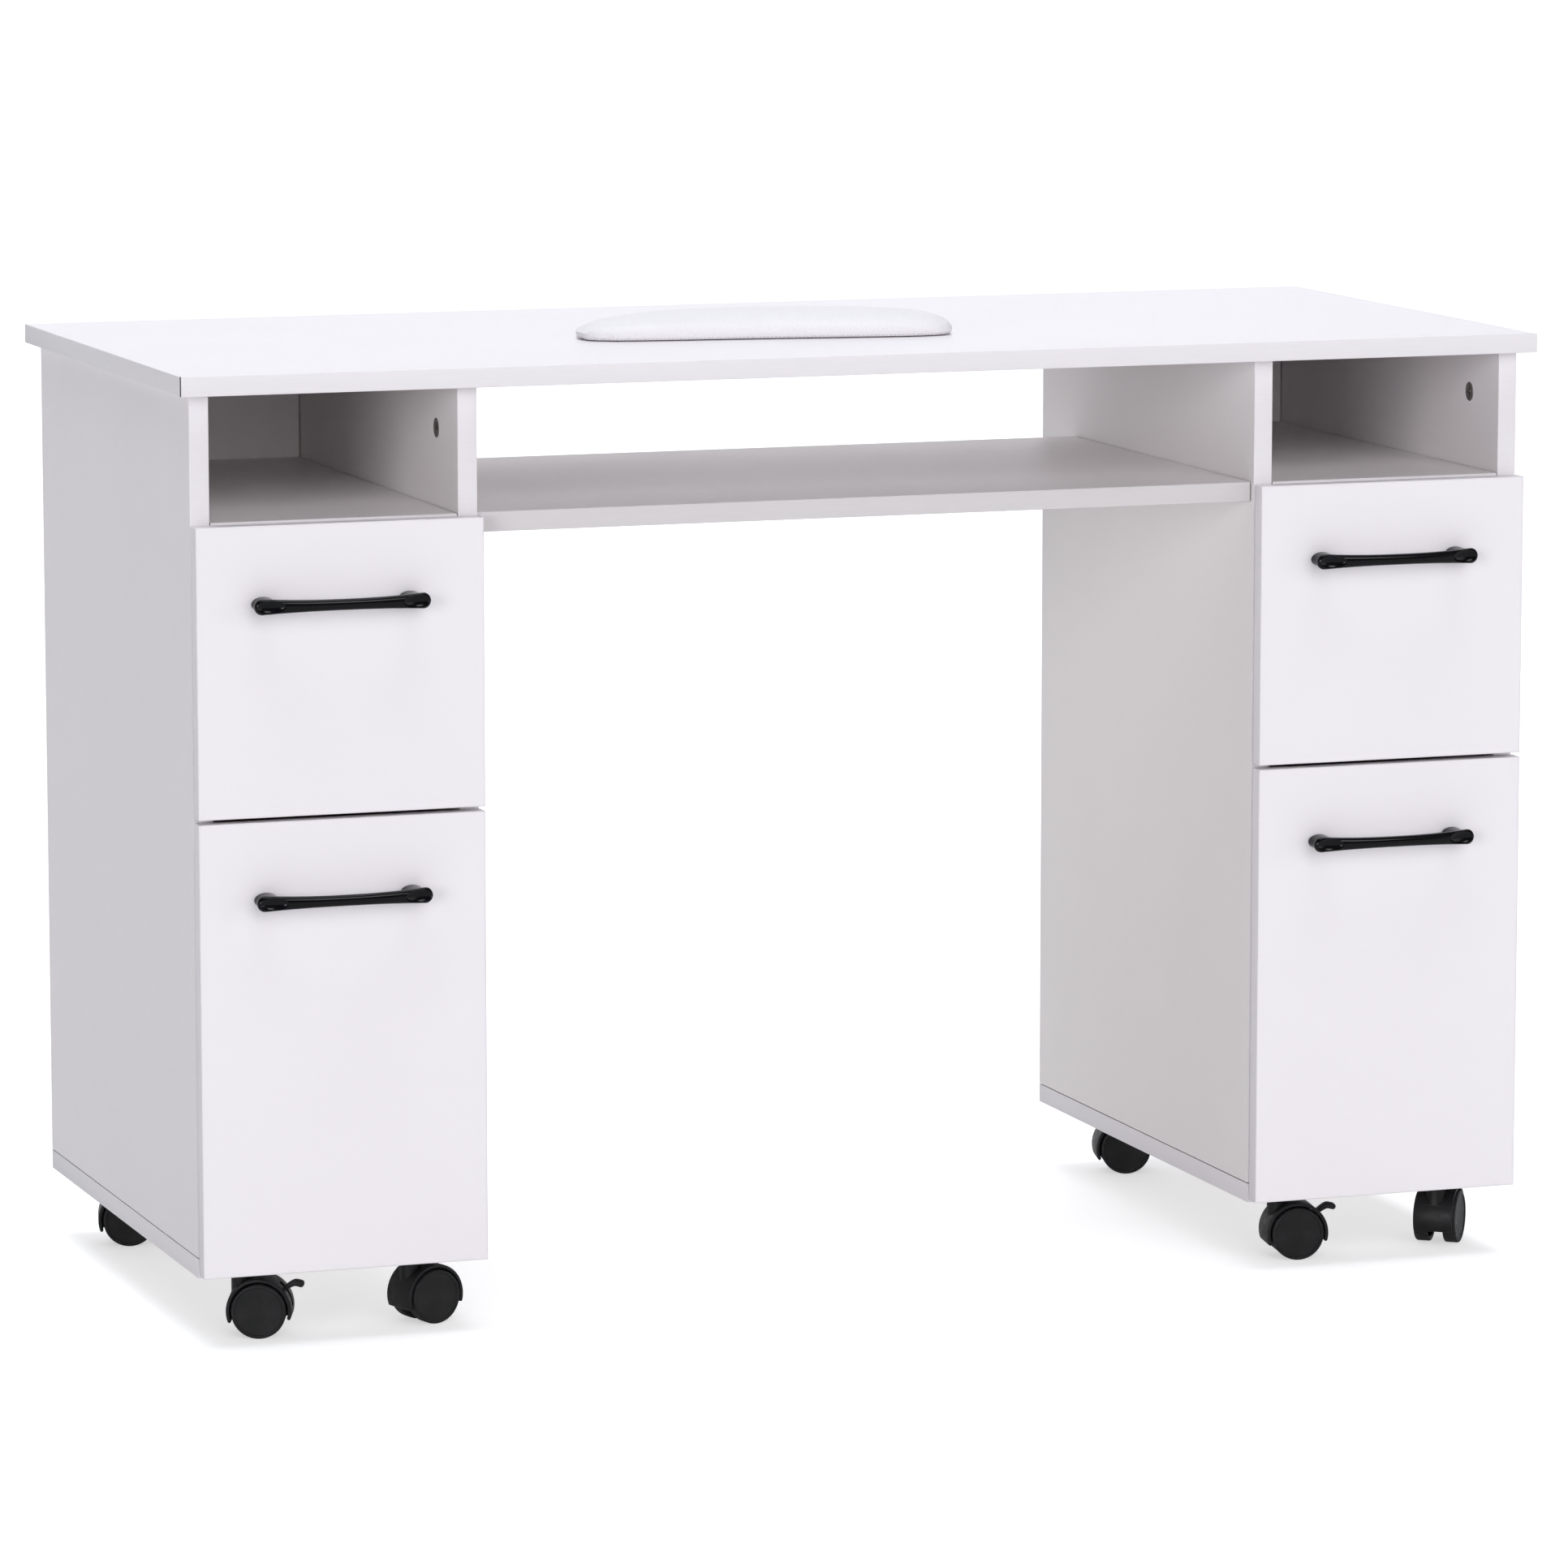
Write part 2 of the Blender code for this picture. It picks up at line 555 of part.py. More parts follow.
# ---------------------------------------------------------------- the table
def main():
    for obj in list(bpy.data.objects):
        bpy.data.objects.remove(obj)
    bpy.context.scene.collection.children.link(parts)
    bpy.context.scene.collection.children.link(cutters)
    build_top()
    build_shelf()
    build_cushion()
    for side, left in PEDESTALS.items():
        build_pedestal(side, left)
        build_drawer(side, left, "upper", FRONT_SPLIT_HIGH, FRONT_TOP, UPPER_BOX_HEIGHTS)
        build_drawer(side, left, "lower", FRONT_BOTTOM, FRONT_SPLIT_LOW, LOWER_BOX_HEIGHTS)
    build_casters("left", PEDESTALS["left"], LEFT_CASTERS)
    build_casters("right", PEDESTALS["right"], RIGHT_CASTERS)


main()
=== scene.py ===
"""The looks of the manicure table: melamine boards with their edge strips, fittings, pulls, runners,
casters and the stitched wrist cushion, on a pale studio floor.

Metres, +Z up, drawers towards -Y. Boards, boxes and rails take their places from the frame's nodes, and the
casters take theirs from its joints.
"""
import json
import math

import bmesh
import bpy
from mathutils import Matrix, Vector, noise
from mathutils.bvhtree import BVHTree


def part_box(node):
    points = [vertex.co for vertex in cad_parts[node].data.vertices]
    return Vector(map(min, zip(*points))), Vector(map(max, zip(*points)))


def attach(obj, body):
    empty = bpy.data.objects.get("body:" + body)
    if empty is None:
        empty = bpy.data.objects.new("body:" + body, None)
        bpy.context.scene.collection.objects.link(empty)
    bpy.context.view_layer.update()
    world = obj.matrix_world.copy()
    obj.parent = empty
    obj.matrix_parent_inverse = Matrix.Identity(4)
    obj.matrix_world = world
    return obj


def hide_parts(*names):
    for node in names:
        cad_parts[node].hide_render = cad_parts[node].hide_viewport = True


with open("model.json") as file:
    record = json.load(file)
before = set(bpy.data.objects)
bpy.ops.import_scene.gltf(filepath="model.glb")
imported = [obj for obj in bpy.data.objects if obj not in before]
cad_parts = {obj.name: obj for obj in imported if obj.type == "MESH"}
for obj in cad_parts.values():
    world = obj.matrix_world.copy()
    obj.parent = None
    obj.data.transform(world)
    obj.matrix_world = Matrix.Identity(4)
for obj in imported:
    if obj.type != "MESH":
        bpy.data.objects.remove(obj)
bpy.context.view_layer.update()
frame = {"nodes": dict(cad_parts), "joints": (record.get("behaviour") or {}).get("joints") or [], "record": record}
BODY_OF = {n: body for body, nodes in frame["record"]["behaviour"]["bodies"].items() for n in nodes}
JOINTS = {joint["name"]: joint for joint in frame["joints"]}
SIDES = ("left", "right")
LEVELS = ("upper", "lower")
DRAWERS = [f"{side}_{level}_drawer" for side in SIDES for level in LEVELS]
CASTERS = [f"{side}_{end}_{hand}_caster" for side in SIDES for end in ("front", "rear") for hand in SIDES]

# -------- sizes
BAND = 0.0009             # PVC edge strip
BAND_ROUND = 0.0006
SEAM = 0.00012            # chamfer that shows as the hairline between strip and board
CORNER_JOINT = 0.00012    # where two strips meet
OPEN_CORNER = 0.0036      # the one badly closed joint, at the top's front left corner
GLUE_INSET = 0.0001       # how far the glue in that joint lies below the strips
EASE = 0.00022            # how far each board stays inside its solid, so that the joints show as lines
BUMPER_GAP = 0.0020       # between a drawer front and the carcass

CAM_RADIUS = 0.0075
CAM_PLAY = 0.00018        # round a cam in its bore
CAM_DEPTH = 0.0122
CAM_FROM_EDGE = 0.0365    # from the board's end that the cam pulls in
CAM_FROM_FRONT = 0.056
SHELF_CAM_INSETS = (0.050, 0.330)
SCREW_RADIUS = 0.0034

BOX_WALL = 0.012
BOX_FLOOR = 0.008
BOX_GROOVE = 0.002        # how far the floor panel lies above the walls' lower edge
BOX_SCREW_INSETS = (0.016, 0.030, 0.025)    # from the side walls, the lower edge and the upper edge
RUNNER_REACH = 0.0088
RUNNER_HEIGHT = 0.014
RUNNER_SHEET = 0.0012
RAIL_SHEET = 0.0013
RAIL_HOLES = (0.030, 0.190, 0.350)    # from the rail's front; the last two hold screws
RAIL_HOLE_OFFSET = 0.022
ROLLER_RADIUS = 0.0068
ROLLER_WIDTH = 0.0060
ROLLER_CLEARANCE = 0.0002
ROLLER_INSETS = (0.009, 0.010)    # from the rail's front, and from the drawer box's back

PULL_END_HEIGHT = 0.0132
PULL_WAIST_HEIGHT = 0.0086
PULL_THICKNESS = 0.0075
PULL_BOW = 0.0040
PULL_POST_PITCH = 0.116
PULL_POST = (0.0185, 0.0116)
PULL_SCOOP = (0.0114, 0.0036, 0.0062)
PULL_SCOOP_FROM_END = 0.0120

TRAIL = 0.014
WHEEL_RADIUS = 0.0213
WHEEL_INNER = 0.0066
WHEEL_OUTER = 0.0176
HOOD_OUTER = 0.0254
HOOD_INNER = 0.0226
HOOD_HALF_WIDTH = 0.0158
HOOD_SKIRT = (19.0, 13.0)    # degrees below the axle's level, in front and behind
HOOD_TOP = 0.0482
HOOD_WEB_HALF = 0.0042
BOSS_RADIUS = 0.0082
BOSS_FOOT = 0.0190
STEM_BORE = 0.0034
AXLE_BORE = 0.0031
PLATE_SIZE = 0.038
PLATE_SCREW_INSET = 0.0050
PLATE_THICKNESS = 0.0025
STEM_FOOT = 0.0310
LEVER_PIVOT = (0.0130, 0.0130)
LEVER_HUB = 0.0036
LEVER_HALF_WIDTH = 0.0038
LEVER_SLOT_HALF = 0.0044
LEVER_THICKNESS = 0.0040

FORM_SCALE = (1.010, 0.975, 0.92)    # the stuffing's size against the cushion's solid
FORM_VOXEL = 0.0045
FORM_SWELL = 0.006        # the most that a point of the stuffing may move as it swells
SKIN_AROUND = 960
SKIN_UP = 26
SKIN_EYE = 0.0062         # height above the table of the line that the cover is cast from
STITCH_PITCH = 0.0032
SEAM_HEIGHT = 0.0016

LENS = 174.98             # millimetres
EYE = (-2.0343, -5.7654, 1.2897)
AIM = (-0.0572, -0.1696, 0.4073)


# -------- materials
def feed(node, **values):
    """Sets the values of a node's inputs."""
    for socket, value in values.items():
        node.inputs[socket.replace("_", " ")].default_value = value
    return node


def shade(colour, factor):
    return tuple(channel * factor for channel in colour)


class Finish:
    """A Principled material built up from noise layers that lie in the piece's own coordinates."""

    def __init__(self, name, colour, roughness, metallic=0.0, **sockets):
        self.material = bpy.data.materials.new(name)
        self.material.use_nodes = True
        self.tree = self.material.node_tree
        self.shader = self.tree.nodes["Principled BSDF"]
        self.coords = self.add("ShaderNodeTexCoord").outputs["Object"]
        feed(self.shader, Base_Color=(*colour, 1.0), Roughness=roughness, Metallic=metallic, **sockets)
        self.normal = None

    def add(self, kind, **settings):
        node = self.tree.nodes.new(kind)
        for key, value in settings.items():
            setattr(node, key, value)
        return node

    def link(self, source, target):
        self.tree.links.new(source, target)

    def noise(self, scale, detail=3.0, stretch=(1.0, 1.0, 1.0)):
        """Cloudy 0 to 1 pattern, scale in cells per metre."""
        mapping = feed(self.add("ShaderNodeMapping"), Scale=stretch)
        self.link(self.coords, mapping.inputs["Vector"])
        texture = feed(self.add("ShaderNodeTexNoise"), Scale=scale, Detail=detail)
        self.link(mapping.outputs["Vector"], texture.inputs["Vector"])
        return texture.outputs["Fac"]

    def cells(self, scale, smoothness=0.35):
        """Pebbled 0 to 1 pattern, low in the middle of each cell."""
        texture = self.add("ShaderNodeTexVoronoi", feature="SMOOTH_F1")
        feed(texture, Scale=scale, Smoothness=smoothness)
        self.link(self.coords, texture.inputs["Vector"])
        return texture.outputs["Distance"]

    def spread(self, value, low, high, source=(0.3, 0.7)):
        """Maps a pattern's middle range to low..high."""
        node = self.add("ShaderNodeMapRange")
        feed(node, From_Min=source[0], From_Max=source[1], To_Min=low, To_Max=high)
        self.link(value, node.inputs["Value"])
        return node.outputs["Result"]

    def colours(self, value, *stops):
        """Colour from a pattern, by (place, colour) stops."""
        ramp = self.add("ShaderNodeValToRGB")
        elements = ramp.color_ramp.elements
        while len(elements) < len(stops):
            elements.new(0.5)
        for element, (place, colour) in zip(elements, stops):
            element.position = place
            element.color = (*colour, 1.0)
        self.link(value, ramp.inputs["Fac"])
        return ramp.outputs["Color"]

    def tones(self, value, colour, low, high, places=(0.3, 0.7)):
        """Colour from a pattern: the shades low and high of one colour at two places."""
        return self.colours(value, *((place, shade(colour, tone)) for place, tone in zip(places, (low, high))))

    def blend(self, a, b, amount):
        """Mixes the second colour into the first."""
        mix = feed(self.add("ShaderNodeMix", data_type="RGBA"), Factor=amount)
        self.link(a, mix.inputs["A"])
        self.link(b, mix.inputs["B"])
        return mix.outputs["Result"]

    def base(self, colour):
        self.link(colour, self.shader.inputs["Base Color"])

    def rough(self, value):
        self.link(value, self.shader.inputs["Roughness"])

    def bump(self, height, distance):
        """Adds relief of the given depth in metres over what is there already."""
        node = feed(self.add("ShaderNodeBump"), Strength=1.0, Distance=distance)
        self.link(height, node.inputs["Height"])
        if self.normal:
            self.link(self.normal, node.inputs["Normal"])
        self.normal = node.outputs["Normal"]
        self.link(self.normal, self.shader.inputs["Normal"])
        return self


def coated_finish(name, colour, rough, cloud, tones, gloss, grain, places=(0.3, 0.7), **sockets):
    """One colour in soft clouds: cloud is its noise, tones its darkest and lightest shade, gloss the roughness
    noise with its two ends, and grain the relief's noise with its depth."""
    f = Finish(name, colour, rough, **sockets)
    f.base(f.tones(f.noise(*cloud), colour, *tones, places))
    f.rough(f.spread(f.noise(gloss[0]), *gloss[1:]))
    return f.bump(f.noise(grain[0], 2.0), grain[1]).material


def melamine_finish(name, colour, gloss):
    """White decor paper under melamine resin: faint mottling, and a pearl texture pressed by the plate."""
    f = Finish(name, colour, gloss, Specular_IOR_Level=0.45)
    mottle = f.tones(f.noise(9.0), colour, 0.985, 1.01)
    speck = f.tones(f.noise(1300.0, 2.0), colour, 0.985, 1.0, (0.30, 0.60))
    f.base(f.blend(mottle, speck, 0.4))
    f.rough(f.spread(f.noise(140.0), gloss - 0.05, gloss + 0.06))
    return f.bump(f.noise(1500.0, 2.0), 0.000030).bump(f.noise(260.0, 2.0), 0.000025).material


def band_finish(name, colour):
    """Extruded PVC strip: a little glossier than the boards, with fine lines along its length."""
    f = Finish(name, colour, 0.32)
    lines = f.noise(900.0, 2.0, stretch=(0.04, 0.04, 1.0))
    f.base(f.tones(lines, colour, 0.975, 1.0, (0.25, 0.75)))
    f.rough(f.spread(f.noise(200.0), 0.28, 0.40))
    return f.bump(lines, 0.000020).material


def chipboard_finish():
    """Pressed wood chips, as in a drilled hole or an open joint."""
    f = Finish("chipboard", (0.10, 0.06, 0.035), 0.85)
    chips = f.colours(f.cells(420.0), (0.15, (0.20, 0.13, 0.075)), (0.75, (0.045, 0.028, 0.018)))
    grain = f.colours(f.noise(1600.0), (0.3, (0.05, 0.03, 0.02)), (0.7, (0.22, 0.15, 0.09)))
    f.base(f.blend(chips, grain, 0.4))
    return f.bump(f.noise(900.0), 0.00025).material


def glue_finish():
    """Dark hot-melt glue where an edge strip stops short."""
    f = Finish("edge_glue", (0.010, 0.009, 0.008), 0.7)
    f.base(f.colours(f.noise(700.0), (0.3, (0.005, 0.005, 0.004)), (0.7, (0.016, 0.014, 0.012))))
    return f.bump(f.noise(1200.0), 0.0001).material


def leatherette_finish():
    """White PU leather: pebbled grain with fine pores, and painted shade that makes its valleys a little darker.
    """
    colour = (0.838, 0.815, 0.833)
    f = Finish("white_leatherette", colour, 0.46, Specular_IOR_Level=0.42)
    pebbles = f.cells(780.0)
    pores = f.noise(3200.0, 2.0)
    # painted shade: the base colour goes down to nine tenths in the pebbles' valleys
    grain = f.tones(pebbles, colour, 1.0, 0.90, (0.25, 0.85))
    cloud = f.tones(f.noise(38.0), colour, 0.97, 1.01)
    f.base(f.blend(grain, cloud, 0.5))
    f.rough(f.spread(pebbles, 0.40, 0.54, source=(0.2, 0.8)))
    pressed = f.add("ShaderNodeMath", operation="MULTIPLY")
    pressed.inputs[1].default_value = -1.0
    f.link(pebbles, pressed.inputs[0])
    return f.bump(pressed.outputs[0], 0.00016).bump(pores, 0.00003).material


def thread_finish():
    """Twisted polyester thread."""
    colour = (0.66, 0.66, 0.69)
    f = Finish("seam_thread", colour, 0.6, Sheen_Weight=0.2)
    twist = f.noise(4200.0, 1.0, stretch=(1.0, 1.0, 0.3))
    f.base(f.tones(twist, colour, 0.75, 1.0))
    return f.bump(twist, 0.00006).material


def nylon_finish(name, colour, rough, relief):
    """Moulded nylon with a fine spark-eroded surface."""
    return coated_finish(name, colour, rough, (70.0, 5.0), (0.70, 1.35), (330.0, rough - 0.06, rough + 0.08),
                         (2600.0, relief), places=(0.28, 0.72), Specular_IOR_Level=0.24)


def tread_finish():
    """Wheel treads: the same nylon, scuffed grey by rolling."""
    f = Finish("scuffed_tread", (0.02, 0.02, 0.021), 0.58, Specular_IOR_Level=0.25)
    scuffs = f.noise(420.0, 5.0, stretch=(1.0, 1.0, 0.25))
    f.base(f.colours(scuffs, (0.40, (0.012, 0.012, 0.013)), (0.62, (0.022, 0.022, 0.023)),
                     (0.80, (0.050, 0.049, 0.047))))
    return f.bump(scuffs, 0.00008).material


def zinc_finish(name, colour, rough):
    """Zinc-plated steel with a faint spangle."""
    f = Finish(name, colour, rough, metallic=1.0)
    spangle = f.tones(f.cells(330.0, 0.1), colour, 0.85, 1.0, (0.1, 0.9))
    smear = f.tones(f.noise(90.0, 5.0), colour, 0.80, 1.0)
    f.base(f.blend(spangle, smear, 0.5))
    f.rough(f.spread(f.noise(240.0), rough - 0.07, rough + 0.12))
    return f.bump(f.noise(1500.0, 3.0), 0.00002).material


WHITE = (0.872, 0.836, 0.860)
CARCASS_WHITE = (0.872, 0.832, 0.838)
MELAMINE = melamine_finish("white_melamine", WHITE, 0.36)
CARCASS_MELAMINE = melamine_finish("carcass_melamine", CARCASS_WHITE, 0.38)
INNER_MELAMINE = melamine_finish("inner_melamine", (0.872, 0.836, 0.828), 0.42)
BAND_PVC = band_finish("white_edge_strip", shade(WHITE, 0.945))
# The shelf's edge strip is a darker grey than the other strips. That is painted shade: the shade that the
# tabletop's overhang casts on it.
SHADED_SHELF_PVC = band_finish("shelf_edge_strip_painted_shade", shade(CARCASS_WHITE, 0.78))
CHIPBOARD = chipboard_finish()
GLUE = glue_finish()
FOIL = coated_finish("drawer_foil", (0.760, 0.742, 0.745), 0.55, (30.0, 5.0), (0.96, 1.0),
                     (160.0, 0.48, 0.62), (1100.0, 0.00003))
LEATHERETTE = leatherette_finish()
THREAD = thread_finish()
PULL_BLACK = coated_finish("satin_black_coat", (0.0030, 0.0030, 0.0036), 0.13, (60.0,), (0.75, 1.25),
                           (420.0, 0.14, 0.20), (2300.0, 0.000004), Specular_IOR_Level=0.20)
NYLON_BLACK = nylon_finish("black_nylon", (0.0105, 0.0105, 0.0112), 0.42, 0.000030)
DISC_BLACK = nylon_finish("wheel_disc_nylon", (0.0125, 0.0125, 0.0130), 0.46, 0.000045)
TREAD = tread_finish()
NYLON_WHITE = nylon_finish("natural_nylon", (0.68, 0.67, 0.63), 0.45, 0.00003)
ZINC = zinc_finish("zinc_plate", (0.62, 0.63, 0.65), 0.34)
CAM_METAL = zinc_finish("die_cast_cam", (0.44, 0.43, 0.41), 0.42)
EPOXY = coated_finish("runner_epoxy", (0.72, 0.715, 0.69), 0.38, (50.0,), (0.95, 1.0),
                      (200.0, 0.32, 0.46), (900.0, 0.00004), Coat_Weight=0.15, Coat_Roughness=0.3)


# -------- mesh helpers
def in_scene(name, data):
    obj = bpy.data.objects.new(name, data)
    bpy.context.scene.collection.objects.link(obj)
    return obj


def raw(name, bm, *materials):
    """Puts a bmesh in the scene as an object, without a body yet."""
    mesh = bpy.data.meshes.new(name)
    bm.to_mesh(mesh)
    bm.free()
    for mat in materials:
        mesh.materials.append(mat)
    return in_scene(name, mesh)


def placed(obj, matrix):
    obj.matrix_world = matrix
    return obj


def cutter(bm, mat, at=(0.0, 0.0, 0.0)):
    """A piece for boolean to cut with; the cut faces take its material."""
    return placed(raw("cut", bm, mat), Matrix.Translation(at))


def facing(direction, twist=0.0):
    """Turns +Z to the given direction, after a twist about it."""
    turn = Vector(direction).to_track_quat("Z", "Y").to_matrix().to_4x4()
    return turn @ Matrix.Rotation(twist, 4, "Z")


def settle(obj, body, slot, *nodes, smooth=None):
    """Shades a piece, gives it its body and hides the nodes that it stands for. slot is not used."""
    if smooth is not None:
        obj.data.shade_smooth()
        obj.data.set_sharp_from_angle(angle=math.radians(smooth))
    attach(obj, body)
    if nodes:
        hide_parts(*nodes)
    return obj


def copy_of(obj, name, matrix):
    """A second object on the same mesh, placed by matrix."""
    return placed(in_scene(name, obj.data), matrix)


def apply_modifiers(obj):
    bpy.context.view_layer.update()
    evaluated = obj.evaluated_get(bpy.context.evaluated_depsgraph_get())
    mesh = bpy.data.meshes.new_from_object(evaluated)
    mesh.name = obj.data.name
    obj.modifiers.clear()
    obj.data = mesh
    return obj


def boolean(obj, *others, operation="DIFFERENCE"):
    """Cuts or joins obj with the others, and removes them."""
    for other in others:
        mod = obj.modifiers.new("Boolean", "BOOLEAN")
        mod.operation = operation
        mod.solver = "EXACT"
        mod.material_mode = "TRANSFER"
        mod.object = other
    apply_modifiers(obj)
    for other in others:
        bpy.data.objects.remove(other)
    return obj


def cuboid(low, high):
    bm = bmesh.new()
    bmesh.ops.create_cube(bm, size=1.0)
    low, high = Vector(low), Vector(high)
    bmesh.ops.scale(bm, vec=high - low, verts=bm.verts)
    bmesh.ops.translate(bm, vec=(low + high) / 2, verts=bm.verts)
    return bm


def round_edges(bm, edges, width, segments=3):
    bmesh.ops.bevel(bm, geom=edges, offset=width, segments=segments, profile=0.5, affect="EDGES",
                    clamp_overlap=True)


def rounded_box(name, low, high, radius, *materials, segments=2):
    bm = cuboid(low, high)
    round_edges(bm, bm.edges[:], radius, segments)
    return raw(name, bm, *materials)


def rod(radius, low, high, axis="Z", sides=40):
    """Cylinder bmesh between two places along an axis through the origin."""
    bm = bmesh.new()
    bmesh.ops.create_cone(bm, cap_ends=True, segments=sides, radius1=radius, radius2=radius, depth=high - low)
    bmesh.ops.translate(bm, vec=(0, 0, (low + high) / 2), verts=bm.verts)
    if axis == "Y":
        bmesh.ops.rotate(bm, matrix=Matrix.Rotation(-math.pi / 2, 3, "X"), verts=bm.verts)
    if axis == "X":
        bmesh.ops.rotate(bm, matrix=Matrix.Rotation(math.pi / 2, 3, "Y"), verts=bm.verts)
    return bm


def arc(radius, start, end, steps, centre=(0.0, 0.0)):
    """Points on an arc, angles in degrees, both ends included."""
    points = []
    for i in range(steps + 1):
        a = math.radians(start + (end - start) * i / steps)
        points.append((centre[0] + radius * math.cos(a), centre[1] + radius * math.sin(a)))
    return points


def lathe(profile, steps=64):
    """Turns an (r, z) profile about Z into a closed bmesh."""
    bm = bmesh.new()
    verts = [bm.verts.new((r, 0, z)) for r, z in profile]
    edges = [bm.edges.new(pair) for pair in zip(verts, verts[1:])]
    bmesh.ops.spin(bm, geom=verts + edges, cent=(0, 0, 0), axis=(0, 0, 1), angle=2 * math.pi, steps=steps,
                   use_merge=True)
    bmesh.ops.remove_doubles(bm, verts=bm.verts, dist=0.00001)
    bmesh.ops.recalc_face_normals(bm, faces=bm.faces)
    return bm


def prism(outline, low, high):
    """Extrudes a closed (x, z) outline along Y."""
    bm = bmesh.new()
    face = bm.faces.new([bm.verts.new((x, low, z)) for x, z in outline])
    swept = bmesh.ops.extrude_face_region(bm, geom=[face])
    moved = [v for v in swept["geom"] if isinstance(v, bmesh.types.BMVert)]
    bmesh.ops.translate(bm, vec=(0, high - low, 0), verts=moved)
    bmesh.ops.recalc_face_normals(bm, faces=bm.faces)
    return bm


def skin(bm, rings):
    """Joins each closed ring of vertices to the next one with quads."""
    for a, b in zip(rings, rings[1:]):
        for k in range(len(a)):
            n = (k + 1) % len(a)
            bm.faces.new((a[k], a[n], b[n], b[k]))


def edges_at(bm, axis, *places):
    """Edges that lie in the planes at these places along an axis."""
    return [e for e in bm.edges if any(all(abs(v.co[axis] - at) < 1e-7 for v in e.verts) for at in places)]


# -------- boards
EDGES = {"left": (0, -1), "right": (0, 1), "front": (1, -1), "back": (1, 1), "bottom": (2, -1), "top": (2, 1)}


def edge_strip(name, low, high, axis, sign, body, finish):
    """One PVC strip between two corners, rounded along its outer face."""
    bm = cuboid(low, high)
    round_edges(bm, edges_at(bm, axis, (high if sign > 0 else low)[axis]), BAND_ROUND)
    settle(raw(name, bm, finish), body, "melamine", smooth=35)


def banded_board(node, through, between=(), decor=None, strip=None, open_joint=None, stand_off=0.0):
    """Stands for a board: a chipboard core in melamine, and an edge strip on each edge that is named.

    The through strips run the board's whole length and the between strips fit between them.
    open_joint is the (between, through) pair whose corner is left a little open. stand_off takes that much
    off the board's back, which shows as the gap that a drawer's bumpers keep.
    """
    low, high = (corner + Vector((ease, ease, ease)) for corner, ease in zip(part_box(node), (EASE, -EASE)))
    high.y -= stand_off
    body = BODY_OF[node]
    banded = [(edge, *EDGES[edge]) for edge in (*through, *between)]
    core_low, core_high = low.copy(), high.copy()
    for edge, axis, sign in banded:
        (core_high if sign > 0 else core_low)[axis] -= sign * BAND
    thickness_axis = min(range(3), key=lambda i: high[i] - low[i])
    bm = cuboid(core_low, core_high)
    for face in bm.faces:
        face.material_index = 0 if abs(face.normal[thickness_axis]) > 0.5 else 1
    seams = []
    for edge, axis, sign in banded:
        at = (core_high if sign > 0 else core_low)[axis]
        seams += [e for e in bm.edges if all(abs(v.co[axis] - at) < 1e-6 for v in e.verts)
                  and abs((e.verts[0].co - e.verts[1].co)[thickness_axis]) < 1e-6]
    if seams:
        round_edges(bm, seams, SEAM, 1)
    core = settle(raw(f"{node}_board", bm, decor or CARCASS_MELAMINE, CHIPBOARD), body, "melamine", node)
    for edge, axis, sign in banded:
        strip_low, strip_high = low.copy(), high.copy()
        (strip_low if sign > 0 else strip_high)[axis] = (core_high if sign > 0 else core_low)[axis]
        if edge in between:
            for other in through:
                other_axis, other_sign = EDGES[other]
                room = CORNER_JOINT + (OPEN_CORNER if (edge, other) == open_joint else 0.0)
                (strip_high if other_sign > 0 else strip_low)[other_axis] -= other_sign * (BAND + room)
        edge_strip(f"{node}_{edge}_strip", strip_low, strip_high, axis, sign, body, strip or BAND_PVC)
    if open_joint:
        glue = cuboid((low.x + GLUE_INSET, low.y + BAND + GLUE_INSET / 2, low.z + GLUE_INSET),
                      (low.x + BAND, low.y + BAND + OPEN_CORNER, high.z - GLUE_INSET))
        settle(raw(f"{node}_open_joint", glue, GLUE), body, "melamine")
    return core


def build_boards():
    cores = {"tabletop": banded_board("tabletop", ("front", "back"), ("left", "right"), decor=MELAMINE,
                                      open_joint=("left", "front")),
             "centre_shelf": banded_board("centre_shelf", ("front", "back"), decor=INNER_MELAMINE,
                                          strip=SHADED_SHELF_PVC)}
    for side in SIDES:
        for panel, decor in (("outer_side", CARCASS_MELAMINE), ("inner_side", INNER_MELAMINE)):
            cores[f"{side}_{panel}"] = banded_board(f"{side}_{panel}", ("front", "back"), decor=decor)
        banded_board(f"{side}_bottom_panel", ("front", "back"), ("left", "right"))
        banded_board(f"{side}_cubby_floor", ("front",), decor=INNER_MELAMINE)
        banded_board(f"{side}_back_panel", (), decor=INNER_MELAMINE)
    for drawer in DRAWERS:
        banded_board(f"{drawer}_front", ("left", "right"), ("top", "bottom"), decor=MELAMINE,
                     stand_off=BUMPER_GAP)
    return cores


# -------- cam locks
def cross_cutters(arm, half, low, high, mat):
    """The two bars of a cross recess, given by half their length and half their width."""
    return [cutter(cuboid((-x, -y, low), (x, y, high)), mat) for x, y in ((arm, half), (half, arm))]


def cam_mesh():
    """Cam lock head looking along +Z: a turned rim round a cross recess with a pilot hole."""
    rim, face = CAM_RADIUS - 0.0001, -0.00025
    profile = [(0.0, face), (rim - 0.0016, face), (rim - 0.0012, face + 0.00020), (rim - 0.0005, face + 0.0002),
               (rim, face - 0.0004), (rim, -CAM_DEPTH), (0.0, -CAM_DEPTH)]
    cam = raw("cam", lathe(profile, 48), CAM_METAL)
    pilot = cutter(rod(0.0021, -0.0036, 0.001, sides=20), CAM_METAL)
    return boolean(cam, *cross_cutters(0.0044, 0.00085, -0.0030, 0.001, CAM_METAL), pilot)


